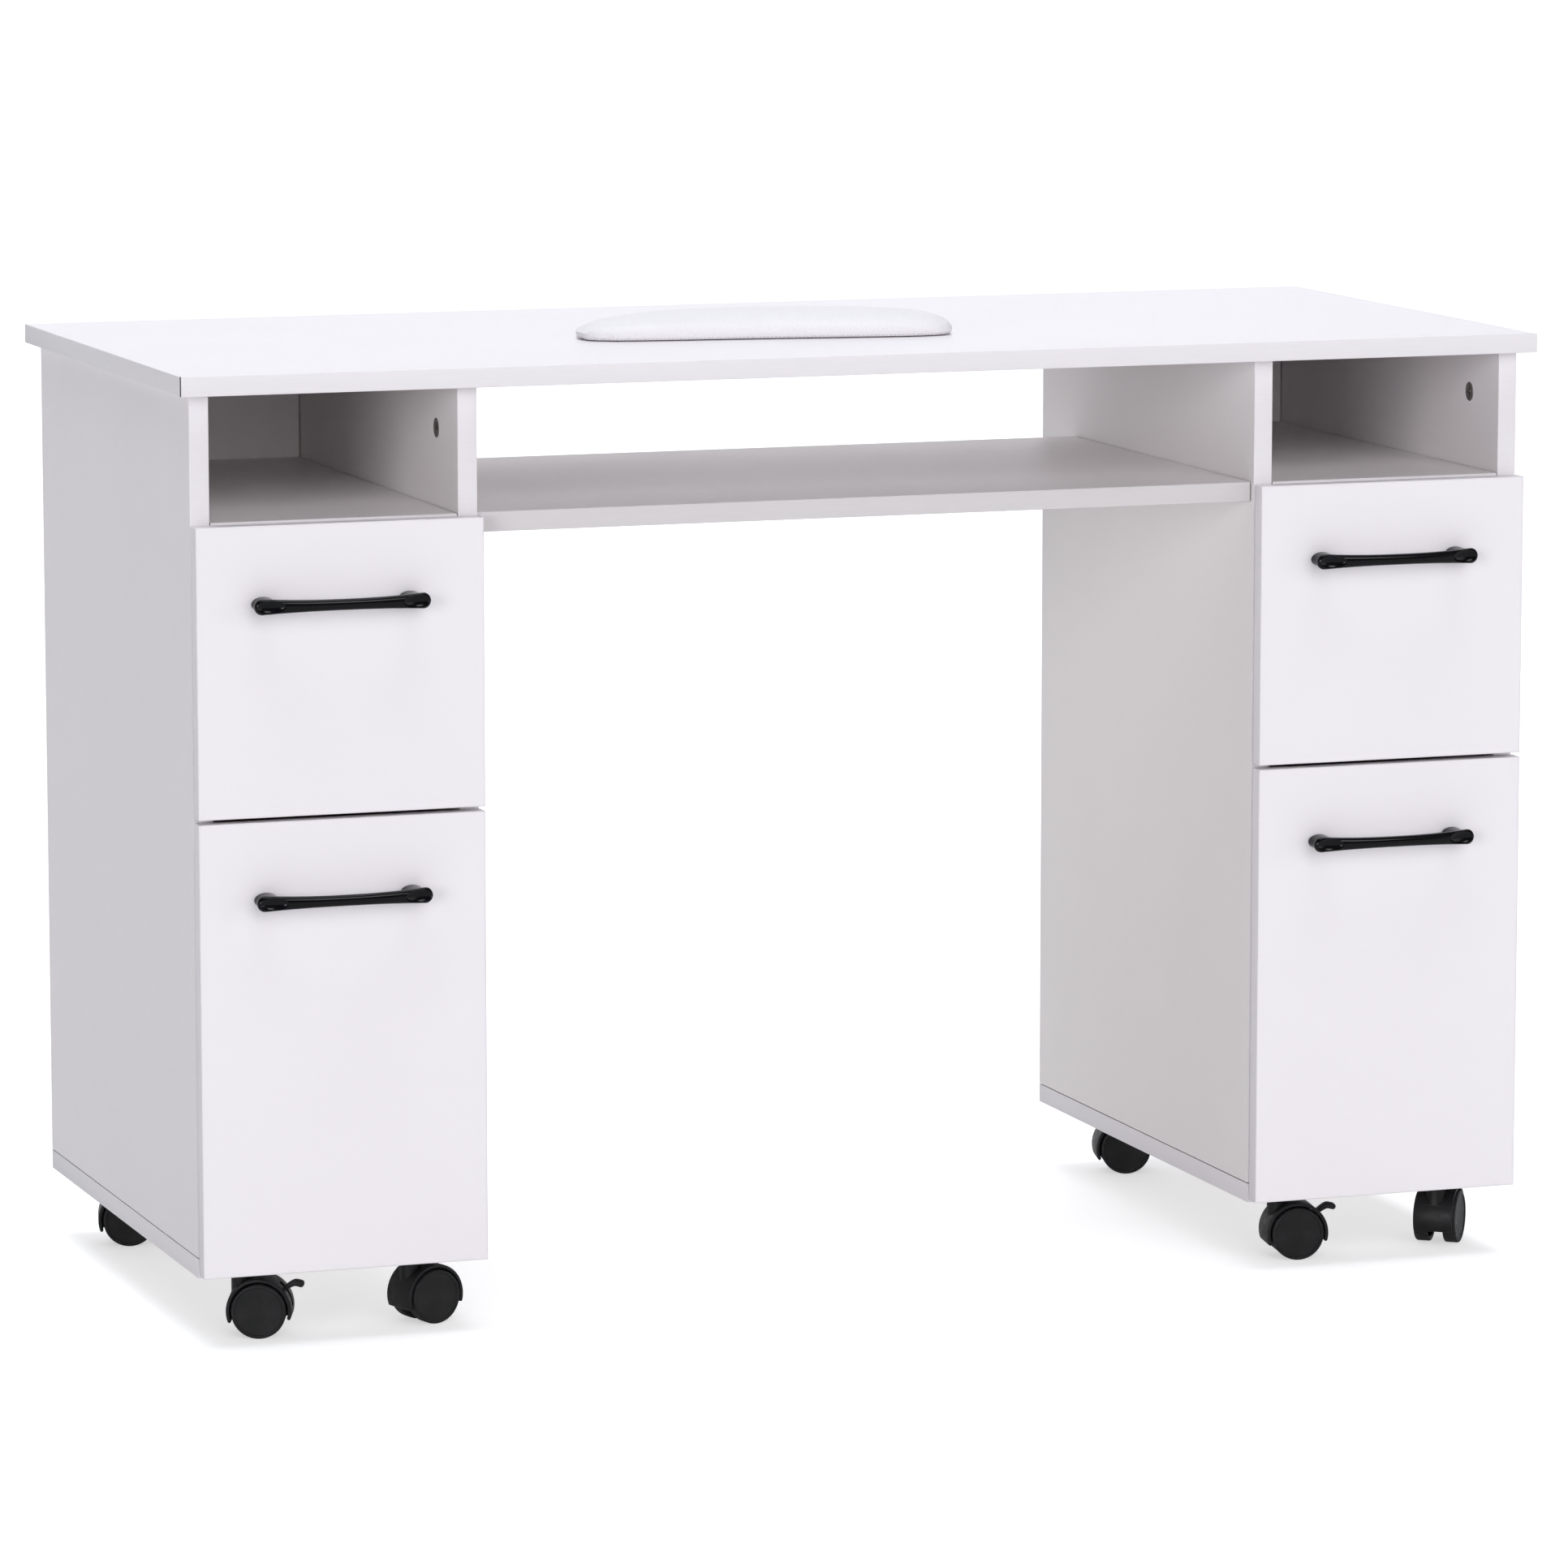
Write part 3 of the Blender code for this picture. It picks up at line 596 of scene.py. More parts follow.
def build_cams(cores):
    """Bores the boards and sets the cams: one on each side of a cubby, two under each end of the shelf."""
    model = cam_mesh()
    places = []
    for side, walls in (("left", ("outer", "inner")), ("right", ("inner", "outer"))):
        for wall, sign in zip(walls, (1, -1)):
            panel = f"{side}_{wall}_side"
            low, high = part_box(panel)
            x = high.x if sign > 0 else low.x
            at = Vector((x, low.y + CAM_FROM_FRONT, high.z - CAM_FROM_EDGE))
            places.append((panel, f"{panel}_cam", at, Vector((sign, 0, 0))))
    low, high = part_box("centre_shelf")
    for hand, x in (("left", low.x + CAM_FROM_EDGE), ("right", high.x - CAM_FROM_EDGE)):
        for tag, inset in zip(("front", "rear"), SHELF_CAM_INSETS):
            at = Vector((x, low.y + inset, low.z))
            places.append(("centre_shelf", f"shelf_{hand}_{tag}_cam", at, Vector((0, 0, -1))))
    bores = {}
    for index, (board, name, at, out) in enumerate(places):
        matrix = Matrix.Translation(at) @ facing(out, 0.5 + 0.9 * index)
        settle(copy_of(model, name, matrix), BODY_OF[board], "zinc_steel", smooth=30)
        bore = raw("bore", rod(CAM_RADIUS + CAM_PLAY, -CAM_DEPTH - 0.0003, 0.001), CHIPBOARD)
        bores.setdefault(board, []).append(placed(bore, matrix))
    bpy.data.objects.remove(model)
    for board, cutters in bores.items():
        boolean(cores[board], *cutters)


# -------- screws
def screw_mesh():
    """Pan-head screw with a cross recess, head towards +Z and a short shank below."""
    r = SCREW_RADIUS
    head = [(0.0, r * 0.55), (r * 0.45, r * 0.52), (r * 0.8, r * 0.36), (r, r * 0.08), (r, 0.0), (r * 0.5, 0.0),
            (r * 0.5, -0.003), (0.0, -0.003)]
    return boolean(raw("screw", lathe(head, 24), ZINC), *cross_cutters(r * 0.5, r * 0.11, r * 0.2, r, ZINC))


def screws(name, body, places):
    """One piece that holds a group of identical screws, given as (place, direction) pairs."""
    bm = bmesh.new()
    for index, (at, out) in enumerate(places):
        mesh = SCREW.data.copy()
        mesh.transform(Matrix.Translation(at) @ facing(out, 0.7 * index))
        bm.from_mesh(mesh)
        bpy.data.meshes.remove(mesh)
    return settle(raw(name, bm, ZINC), body, "zinc_steel", smooth=30)


# -------- drawers
def build_drawer_box(drawer):
    """Five foil-wrapped boards, screwed to the front from inside; returns where the box's two sides are."""
    body = BODY_OF[f"{drawer}_box"]
    low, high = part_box(f"{drawer}_box")
    x0, x1 = low.x + RUNNER_REACH, high.x - RUNNER_REACH
    y0, y1 = low.y - BUMPER_GAP, high.y
    a0, a1, b0, b1 = x0 + BOX_WALL, x1 - BOX_WALL, y0 + BOX_WALL, y1 - BOX_WALL
    gap = 0.00015
    under_rim = high.z - 0.001
    boards = (("left_wall", (x0, y0, low.z), (a0, y1, high.z), f"{drawer}_box"),
              ("right_wall", (a1, y0, low.z), (x1, y1, high.z)),
              ("front_wall", (a0 + gap, y0, low.z), (a1 - gap, b0, under_rim)),
              ("back_wall", (a0 + gap, b1, low.z), (a1 - gap, y1, under_rim)),
              ("floor", (a0 + gap, b0 + gap, low.z + BOX_GROOVE), (a1 - gap, b1 - gap, low.z + BOX_FLOOR)))
    for tag, corner, opposite, *nodes in boards:
        board = rounded_box(f"{drawer}_{tag}", corner, opposite, 0.0005, FOIL)
        settle(board, body, "drawer_board", *nodes)
    across, below, above = BOX_SCREW_INSETS
    screws(f"{drawer}_front_screws", body, [((x, b0, z), (0, 1, 0)) for x in (a0 + across, a1 - across)
                                            for z in (low.z + below, high.z - above)])
    return x0, x1


def channel(sheet, width, height):
    """Outline of a C section open towards +x, from its web at x = 0, with rounded outer corners."""
    r = sheet * 1.4
    outside = arc(r, 270, 180, 4, (r, r)) + arc(r, 180, 90, 4, (r, height - r))
    return outside + [(width, height), (width, height - sheet), (sheet, height - sheet), (sheet, sheet),
                      (width, sheet), (width, 0.0)]


def roller(name, at, body):
    """Nylon runner wheel on a steel rivet, its axis along X."""
    half, corner, bore = ROLLER_WIDTH / 2, 0.0008, 0.0014
    inset = ROLLER_RADIUS - corner
    profile = [(bore, half)] + arc(corner, 90, 0, 3, (inset, half - corner))
    profile += arc(corner, 0, -90, 3, (inset, corner - half)) + [(bore, -half), (bore, half)]
    upright = Matrix.Translation(at) @ Matrix.Rotation(math.pi / 2, 4, "Y")
    settle(placed(raw(name, lathe(profile, 40), NYLON_WHITE), upright), body, "rail_white", smooth=35)
    rivet = [(0.0, half + 0.0005), (0.0020, half + 0.0003), (0.0022, half + 0.0001), (0.0013, half),
             (0.0013, -half - 0.0006), (0.0, -half - 0.0006)]
    settle(placed(raw(f"{name}_rivet", lathe(rivet, 24), ZINC), upright), body, "zinc_steel", smooth=35)


def build_runners(drawer, box_sides):
    """Per side: the fixed channel with its front roller, and the drawer's member with the rear one."""
    box_body = BODY_OF[f"{drawer}_box"]
    box_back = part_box(f"{drawer}_box")[1].y
    for hand, inward, box_side in zip(("left", "right"), (1, -1), box_sides):
        rail = f"{drawer}_rail_{hand}"
        body = BODY_OF[rail]
        low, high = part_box(rail)
        depth, length, height = high - low
        wall = low.x if inward > 0 else high.x
        middle = low.z + height / 2
        bm = prism(channel(RAIL_SHEET, depth, height), 0.0, length)
        if inward < 0:
            bmesh.ops.scale(bm, vec=(-1, 1, 1), verts=bm.verts)
            bmesh.ops.reverse_faces(bm, faces=bm.faces)
        piece = placed(raw(f"{rail}_channel", bm, EPOXY), Matrix.Translation((wall, low.y, low.z)))
        for along in RAIL_HOLES:
            at = (wall, low.y + along + RAIL_HOLE_OFFSET, middle)
            boolean(piece, cutter(rod(0.0024, -0.002, 0.004, "X", 20), EPOXY, at))
        settle(piece, body, "rail_white", rail, smooth=30)
        sheet = wall + inward * RAIL_SHEET
        heads = [((sheet, low.y + along, middle), (inward, 0, 0)) for along in RAIL_HOLES[1:]]
        screws(f"{rail}_screws", body, heads)

        half = RUNNER_HEIGHT / 2
        reach, web = -inward * RUNNER_REACH, -inward * RUNNER_SHEET
        outline = [(0, -half), (web, -half), (web, half - RUNNER_SHEET), (reach, half - RUNNER_SHEET),
                   (reach, half), (0, half)]
        member = raw(f"{drawer}_runner_{hand}", prism(outline, 0.0, length), EPOXY)
        placed(member, Matrix.Translation((box_side, box_back - length, middle)))
        settle(member, box_body, "rail_white", smooth=30)

        off_sheet = 0.0006 + ROLLER_WIDTH / 2
        under_flange = middle + half - RUNNER_SHEET - ROLLER_CLEARANCE - ROLLER_RADIUS
        on_rail = low.z + RAIL_SHEET + ROLLER_CLEARANCE + ROLLER_RADIUS
        fixed = Vector((sheet + inward * off_sheet, low.y + ROLLER_INSETS[0], under_flange))
        moving = Vector((box_side - inward * (RUNNER_SHEET + off_sheet), box_back - ROLLER_INSETS[1], on_rail))
        roller(f"{rail}_roller", fixed, body)
        roller(f"{drawer}_runner_{hand}_roller", moving, box_body)


# -------- pulls
def pull_bar(length, reach):
    """Bowed bar, narrow in the middle and rounded at its ends; lofted along X, front towards -Y."""
    stations, around = 150, 48
    tip_share = 0.095
    bm = bmesh.new()
    rings = []
    for i in range(stations + 1):
        u = -math.cos(math.pi * i / stations)
        tip = (abs(u) - 1 + tip_share) / tip_share
        end = math.sqrt(max(0.0, 1.0 - max(0.0, tip) ** 2.1))
        swell = abs(u) ** 2.4
        half = (PULL_WAIST_HEIGHT + (PULL_END_HEIGHT - PULL_WAIST_HEIGHT) * swell) / 2
        middle = reach + PULL_BOW * (1 - u * u) - PULL_THICKNESS / 2
        ring = []
        for k in range(around):
            a = 2 * math.pi * k / around
            y = math.copysign(abs(math.sin(a)) ** 0.86, math.sin(a)) * PULL_THICKNESS / 2 * (0.25 + 0.75 * end)
            z = math.copysign(abs(math.cos(a)) ** 0.92, math.cos(a)) * half * max(end, 0.02)
            ring.append(bm.verts.new((u * length / 2, -middle - y, z)))
        rings.append(ring)
    skin(bm, rings)
    bm.faces.new(rings[0])
    bm.faces.new(rings[-1])
    bmesh.ops.recalc_face_normals(bm, faces=bm.faces)
    return raw("pull", bm, PULL_BLACK)


def pull_post(at_x, depth):
    """Oval foot from the bar's back to the drawer front, with a slightly flared base."""
    wide, tall = PULL_POST
    profile = [(0.0, -0.00005), (0.47, -0.00005), (0.497, -0.0004), (0.5, -0.0010), (0.492, -0.0022),
               (0.478, -0.0050), (0.470, -depth), (0.0, -depth)]
    bm = lathe(profile, 48)
    bmesh.ops.scale(bm, vec=(wide, tall, 1.0), verts=bm.verts)
    bmesh.ops.rotate(bm, matrix=Matrix.Rotation(-math.pi / 2, 3, "X"), verts=bm.verts)
    bmesh.ops.translate(bm, vec=(at_x, 0, 0), verts=bm.verts)
    return raw("post", bm, PULL_BLACK)


def build_pulls():
    """One casting, shared by the four drawers: bar, two feet, and a leaf-shaped scoop near each end."""
    low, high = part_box(f"{DRAWERS[0]}_handle")
    length = high.x - low.x
    reach = high.y - low.y - PULL_BOW
    pull = pull_bar(length, reach)
    posts = [pull_post(sign * PULL_POST_PITCH / 2, reach - PULL_THICKNESS * 0.55) for sign in (-1, 1)]
    boolean(pull, *posts, operation="UNION")
    scoops = []
    for sign in (-1, 1):
        bm = bmesh.new()
        bmesh.ops.create_uvsphere(bm, u_segments=64, v_segments=32, radius=1.0)
        bmesh.ops.scale(bm, vec=PULL_SCOOP, verts=bm.verts)
        u = sign * (1 - 2 * PULL_SCOOP_FROM_END / length)
        face = reach + PULL_BOW * (1 - u * u)
        slope = math.atan2(-2 * PULL_BOW * u, length / 2)
        bmesh.ops.rotate(bm, matrix=Matrix.Rotation(-slope, 3, "Z"), verts=bm.verts)
        scoops.append(cutter(bm, PULL_BLACK, (u * length / 2, -face - 0.0006, 0.0)))
    boolean(pull, *scoops)
    for drawer in DRAWERS:
        low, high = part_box(f"{drawer}_handle")
        at = Vector(((low.x + high.x) / 2, high.y, (low.z + high.z) / 2))
        piece = copy_of(pull, f"{drawer}_pull", Matrix.Translation(at))
        settle(piece, BODY_OF[f"{drawer}_handle"], "handle_black", f"{drawer}_handle", smooth=24)
    bpy.data.objects.remove(pull)


# -------- casters
def wheels_mesh():
    """Two cup-shaped wheels and their axle, turned about Z; rim and shallow step on each outer face."""
    r, outer, inner = WHEEL_RADIUS, WHEEL_OUTER, WHEEL_INNER
    half = [(0.0, outer - 0.0008), (0.0178, outer - 0.0008), (0.0184, outer - 0.0007), (0.0188, outer - 0.0001),
            (0.0192, outer)]
    half += arc(0.0014, 90, 0, 6, (r - 0.0014, outer - 0.0014))
    half += arc(0.0007, 0, -90, 3, (r - 0.0007, inner + 0.0007))
    half += [(r - 0.0028, inner), (r - 0.0034, inner + 0.0006), (r - 0.0034, outer - 0.0034),
             (0.0048, outer - 0.0034), (0.0044, inner + 0.0006), (0.0040, inner + 0.0002),
             (0.0028, inner + 0.0002)]
    bm = lathe(half + [(x, -z) for x, z in reversed(half)], 72)
    for face in bm.faces:
        on_tread = all(math.hypot(v.co.x, v.co.y) > r - 0.0006 for v in face.verts)
        face.material_index = 1 if on_tread else 0
    return raw("wheels", bm, DISC_BLACK, TREAD)


def lever_path():
    """Middle line of the brake lever, from its pivot out and up to its tip, in the hood's (x, z) plane."""
    px, pz = TRAIL + LEVER_PIVOT[0], WHEEL_RADIUS + LEVER_PIVOT[1]
    return [(px, pz), (px + 0.0053, pz + 0.0016), (px + 0.0096, pz + 0.0046),
            (px + 0.0143, pz + 0.0068), (px + 0.0190, pz + 0.0060)]


def smooth_path(points, steps=7):
    """Catmull-Rom curve through the points."""
    padded = [points[0], *points, points[-1]]
    curve = []
    for a, b, c, d in zip(padded, padded[1:], padded[2:], padded[3:]):
        for i in range(steps):
            t = i / steps
            curve.append(tuple(
                0.5 * (2 * q + (r - p) * t + (2 * p - 5 * q + 4 * r - s) * t ** 2
                       + (3 * q - p - 3 * r + s) * t ** 3) for p, q, r, s in zip(a, b, c, d)))
    return curve + [points[-1]]


def lever_mesh():
    """Curved lever, thin at its neck and round at its toe pad, on a hub."""
    path = smooth_path(lever_path())
    upper, lower = [], []
    for i, (x, z) in enumerate(path):
        before, after = path[max(i - 1, 0)], path[min(i + 1, len(path) - 1)]
        along = Vector((after[0] - before[0], after[1] - before[1])).normalized()
        share = i / (len(path) - 1)
        half = LEVER_THICKNESS / 2 * (0.85 + 0.38 * min(1.0, share * 1.3) ** 3)
        upper.append((x - along.y * half, z + along.x * half))
        lower.append((x + along.y * half, z - along.x * half))
    end = Vector(upper[-1]) - Vector(lower[-1])
    across = math.degrees(math.atan2(end.y, end.x))
    tip = arc(end.length / 2, across - 180, across, 14, path[-1])[1:-1]
    pivot = path[0]
    hub = arc(LEVER_HUB, 75, 285, 20, pivot)
    lower, upper = ([p for p in line if math.dist(p, pivot) > LEVER_HUB + 0.0001] for line in (lower, upper))
    bm = prism(lower + tip + upper[::-1] + hub, -LEVER_HALF_WIDTH, LEVER_HALF_WIDTH)
    round_edges(bm, edges_at(bm, 1, -LEVER_HALF_WIDTH, LEVER_HALF_WIDTH), 0.0011, 4)
    bmesh.ops.translate(bm, vec=(-pivot[0], 0, -pivot[1]), verts=bm.verts)
    return raw("lever", bm, NYLON_BLACK)


def hood_mesh(braked):
    """Arched hood: shell, web between the wheels, half-round swivel boss, and the lever's slot if braked."""
    axle = (TRAIL, WHEEL_RADIUS)
    along_axle = (TRAIL, 0, WHEEL_RADIUS)
    tip = (HOOD_OUTER - HOOD_INNER) / 2
    front, rear = 180 + HOOD_SKIRT[0], -HOOD_SKIRT[1]
    front_end, rear_end = (arc(HOOD_INNER + tip, angle, angle, 1, axle)[0] for angle in (front, rear))
    outline = arc(HOOD_OUTER, rear, front, 72, axle)
    outline += arc(tip, front, front + 180, 10, front_end)[1:-1]
    outline += arc(HOOD_INNER, front, rear, 64, axle)
    outline += arc(tip, rear + 180, rear + 360, 10, rear_end)[1:-1]
    bm = prism(outline, -HOOD_HALF_WIDTH, HOOD_HALF_WIDTH)
    round_edges(bm, edges_at(bm, 1, -HOOD_HALF_WIDTH, HOOD_HALF_WIDTH), 0.0007, 3)
    hood = raw("hood", bm, NYLON_BLACK)
    web_outline = arc(HOOD_INNER + 0.0015, rear, front, 60, axle)
    web = raw("web", prism(web_outline, -HOOD_WEB_HALF, HOOD_WEB_HALF), NYLON_BLACK)
    boss_profile = [(0.0, HOOD_TOP), (BOSS_RADIUS - 0.0006, HOOD_TOP), (BOSS_RADIUS, HOOD_TOP - 0.0006),
                    (BOSS_RADIUS, BOSS_FOOT + 0.001), (BOSS_RADIUS - 0.001, BOSS_FOOT), (0.0, BOSS_FOOT)]
    boss = raw("boss", lathe(boss_profile, 48), NYLON_BLACK)
    boolean(boss, cutter(rod(HOOD_INNER, -0.03, 0.03, "Y", 96), NYLON_BLACK, along_axle))
    for other in (web, boss):
        boolean(hood, other, operation="UNION")
    cuts = [cutter(rod(STEM_BORE, STEM_FOOT - 0.0003, 0.08, "Z", 32), NYLON_BLACK),
            cutter(rod(AXLE_BORE, -0.03, 0.03, "Y", 32), NYLON_BLACK, along_axle)]
    if braked:
        px, pz = TRAIL + LEVER_PIVOT[0], WHEEL_RADIUS + LEVER_PIVOT[1]
        slot = arc(0.0042, 100, 250, 16, (px, pz))
        slot += [(px + 0.0150, pz - 0.0135), (px + 0.0230, pz - 0.0090), (px + 0.0230, pz + 0.0110),
                 (px + 0.0065, pz + 0.0105)]
        cuts.append(cutter(prism(slot, -LEVER_SLOT_HALF, LEVER_SLOT_HALF), NYLON_BLACK))
    return boolean(hood, *cuts)


def mount_mesh(plate_top):
    """Zinc plate with rounded corners, pressed ball race, and the stem that carries the hood."""
    half, low = PLATE_SIZE / 2, plate_top - PLATE_THICKNESS
    bm = cuboid((-half, -half, low), (half, half, plate_top))
    corners = [e for e in bm.edges if abs((e.verts[0].co - e.verts[1].co).z) > 0.001]
    round_edges(bm, corners, 0.0035, 5)
    plate = raw("mount", bm, ZINC)
    race = [(0.0, low + 0.001), (0.0118, low + 0.001), (0.0118, low - 0.0006)]
    race += arc(0.0009, 0, -90, 3, (0.0103, low - 0.0006))
    race += [(0.0092, low - 0.0017), (0.0088, HOOD_TOP + 0.0004), (0.0030, HOOD_TOP + 0.0003),
             (0.0030, STEM_FOOT + 0.0006), (0.0024, STEM_FOOT), (0.0, STEM_FOOT)]
    stem = raw("stem", lathe(race, 40), ZINC)
    return boolean(plate, stem, operation="UNION")


def caster_part(caster, part, model, tag, matrix, slot="caster_black", smooth=32):
    """Stands for one of a caster's nodes with a copy of the shared model."""
    node = f"{caster}_{part}"
    settle(copy_of(model, f"{caster}_{tag}", matrix), BODY_OF[node], slot, node, smooth=smooth)


def build_casters():
    """Eight twin-wheel casters; the front left one of each pedestal has the brake."""
    plate_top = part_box(f"{CASTERS[0]}_mount")[1].z
    hoods = {braked: hood_mesh(braked) for braked in (False, True)}
    wheels, lever, mount = wheels_mesh(), lever_mesh(), mount_mesh(plate_top)
    reach = PLATE_SIZE / 2 - PLATE_SCREW_INSET
    for caster in CASTERS:
        x, y, _ = JOINTS[f"{caster}_swivel_turn"]["pos_m"]
        axle = JOINTS[f"{caster}_wheel_spin"]["pos_m"]
        turn = Matrix.Rotation(math.atan2(axle[1] - y, axle[0] - x), 4, "Z")
        upright = turn @ Matrix.Rotation(math.pi / 2, 4, "X")
        base = Matrix.Translation((x, y, 0.0))
        braked = f"{caster}_brake_press" in JOINTS
        caster_part(caster, "hood", hoods[braked], "hood_moulding", base @ turn)
        caster_part(caster, "wheels", wheels, "twin_wheels", Matrix.Translation(axle) @ upright)
        caster_part(caster, "mount", mount, "swivel_plate", base, "zinc_steel")
        heads = [((x + i * reach, y + j * reach, plate_top - PLATE_THICKNESS), (0, 0, -1))
                 for i in (-1, 1) for j in (-1, 1)]
        screws(f"{caster}_plate_screws", BODY_OF[f"{caster}_mount"], heads)
        if braked:
            pivot = Matrix.Translation(JOINTS[f"{caster}_brake_press"]["pos_m"])
            caster_part(caster, "brake_lever", lever, "brake_pedal", pivot @ turn, smooth=40)
    for model in (*hoods.values(), wheels, lever, mount):
        bpy.data.objects.remove(model)


# -------- wrist cushion
def cushion_axes():
    """Centre on the table, long axis and cross axis of the cushion, from its solid's own outline."""
    mesh = frame["nodes"]["wrist_cushion"].data
    points = [v.co.xy for v in mesh.vertices]
    centre = sum(points, Vector((0, 0))) / len(points)
    sxx = sum((p.x - centre.x) ** 2 for p in points)
    sxy = sum((p.x - centre.x) * (p.y - centre.y) for p in points)
    syy = sum((p.y - centre.y) ** 2 for p in points)
    yaw = 0.5 * math.atan2(2 * sxy, sxx - syy)
    low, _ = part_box("wrist_cushion")
    return Matrix.Translation((*centre, low.z)) @ Matrix.Rotation(yaw, 4, "Z")


def inflate(form):
    """Swells a closed form under pressure, with its underside held, and caps how far a point may move."""
    floor = min(v.co.z for v in form.data.vertices)
    held = form.vertex_groups.new(name="held")
    held.add([v.index for v in form.data.vertices if v.co.z < floor + 0.0022], 1.0, "ADD")
    rest = [v.co.copy() for v in form.data.vertices]
    cloth = form.modifiers.new("Cloth", "CLOTH")
    settings = cloth.settings
    settings.quality = 6
    settings.mass = 0.25
    settings.tension_stiffness = settings.compression_stiffness = 12.0
    settings.shear_stiffness = 4.0
    settings.bending_stiffness = 0.4
    settings.use_pressure = True
    settings.uniform_pressure_force = 4.0
    settings.vertex_group_mass = "held"
    settings.effector_weights.gravity = 0.0
    scene = bpy.context.scene
    for number in range(1, 21):
        scene.frame_set(number)
    apply_modifiers(form)
    scene.frame_set(1)
    for vertex, start in zip(form.data.vertices, rest):
        move = vertex.co - start
        if move.length > FORM_SWELL:
            vertex.co = start + move * (FORM_SWELL / move.length)


def cushion_form(axes):
    """The stuffed body before its cover is sewn: the solid, slightly slimmed, remeshed and inflated."""
    mesh = frame["nodes"]["wrist_cushion"].data.copy()
    mesh.transform(axes.inverted())
    mesh.transform(Matrix.Diagonal((*FORM_SCALE, 1.0)))
    form = in_scene("cushion_form", mesh)
    remesh = form.modifiers.new("Remesh", "REMESH")
    remesh.mode = "VOXEL"
    remesh.voxel_size = FORM_VOXEL
    apply_modifiers(form)
    inflate(form)
    smooth = form.modifiers.new("Smooth", "SMOOTH")
    smooth.factor = 0.5
    smooth.iterations = 4
    subdivide = form.modifiers.new("Subdivision", "SUBSURF")
    subdivide.levels = subdivide.render_levels = 1
    return apply_modifiers(form)


def skin_rays(length, depth):
    """Where the cover's points are cast from: a spine along the cushion, fanned out round its two ends."""
    spine = length / 2 - depth * 0.62
    rays = []
    straight = 2 * spine
    bend = math.pi * depth * 0.5
    total = 2 * (straight + bend)
    for k in range(SKIN_AROUND):
        s = total * k / SKIN_AROUND
        if s < straight:
            x, angle = -spine + s, -math.pi / 2
        elif s < straight + bend:
            x, angle = spine, -math.pi / 2 + math.pi * (s - straight) / bend
        elif s < 2 * straight + bend:
            x, angle = spine - (s - straight - bend), math.pi / 2
        else:
            x, angle = -spine, math.pi / 2 + math.pi * (s - 2 * straight - bend) / bend
        rays.append((Vector((x, 0, SKIN_EYE)), angle))
    return rays


def cover_ring(tree, rays, elevation):
    """Points of the form's surface seen from the spine at one elevation."""
    level, rise = math.cos(elevation), math.sin(elevation)
    return [tree.ray_cast(start, Vector((math.cos(angle) * level, math.sin(angle) * level, rise)))[0]
            for start, angle in rays]


def build_cushion():
    """Leatherette cover with a puckered base seam, its stitches, and a face that closes it underneath."""
    axes = cushion_axes()
    form = cushion_form(axes)
    tree = BVHTree.FromObject(form, bpy.context.evaluated_depsgraph_get())
    length, depth = (max(places) - min(places)
                     for places in ([v.co[axis] for v in form.data.vertices] for axis in (0, 1)))
    rays = skin_rays(length, depth)
    low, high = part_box("wrist_cushion")
    belly = cover_ring(tree, rays, 0.0)
    perimeter = [0.0]
    for a, b in zip(belly, belly[1:] + belly[:1]):
        perimeter.append(perimeter[-1] + (b - a).length)
    stitches = round(perimeter[-1] / STITCH_PITCH)
    pitch = perimeter[-1] / stitches

    def pucker(k, height):
        """How far the cover is drawn in at one place along the seam and height above the table."""
        place = perimeter[k]
        wave = 0.5 + 0.5 * math.cos(2 * math.pi * place / pitch)
        slow = 0.55 + 0.45 * noise.noise(Vector((place * 22.0, 0.0, 4.0)))
        near = math.exp(-((height - SEAM_HEIGHT) / 0.0024) ** 2)
        return (0.00042 * wave * slow + 0.00020 * (1 - wave)) * near

    def outward(k):
        a, b = belly[k - 1], belly[(k + 1) % len(belly)]
        along = (b - a).normalized()
        return Vector((along.y, -along.x, 0.0))

    rows = []
    hem = ((0.00025, 0.0030), (0.00055, 0.0019), (0.0010, 0.0012), (0.0015, 0.0011), (0.0020, 0.0008),
           (0.0027, 0.00045), (0.0036, 0.0002), (0.0048, 0.00005))
    for height, inset in hem:
        rows.append([Vector((p.x, p.y, height)) - outward(k) * (inset + pucker(k, height))
                     for k, p in enumerate(belly)])
    for i in range(SKIN_UP):
        ring = cover_ring(tree, rays, math.radians(90.0 * i / SKIN_UP))
        rows.append([p - outward(k) * pucker(k, p.z) * 0.6 for k, p in enumerate(ring)])
    rows.append([tree.ray_cast(start, Vector((0, 0, 1)))[0] for start, _ in rays])
    bm = bmesh.new()
    made = [[bm.verts.new(p) for p in row] for row in rows]
    skin(bm, made)
    bm.faces.new(made[0][::-1])
    bmesh.ops.remove_doubles(bm, verts=bm.verts, dist=0.00012)
    for face in [f for f in bm.faces if f.calc_area() < 1e-12]:
        bm.faces.remove(face)
    bmesh.ops.recalc_face_normals(bm, faces=bm.faces)
    stretch = (high.z - low.z) / max(v.co.z for v in bm.verts)
    bmesh.ops.scale(bm, vec=(1, 1, stretch), verts=bm.verts)
    cover = placed(raw("wrist_cushion_cover", bm, LEATHERETTE), axes)
    settle(cover, BODY_OF["wrist_cushion"], "leatherette", "wrist_cushion", smooth=60)
    build_stitching(axes, belly, perimeter, pitch, stitches, outward)
    bpy.data.objects.remove(form)


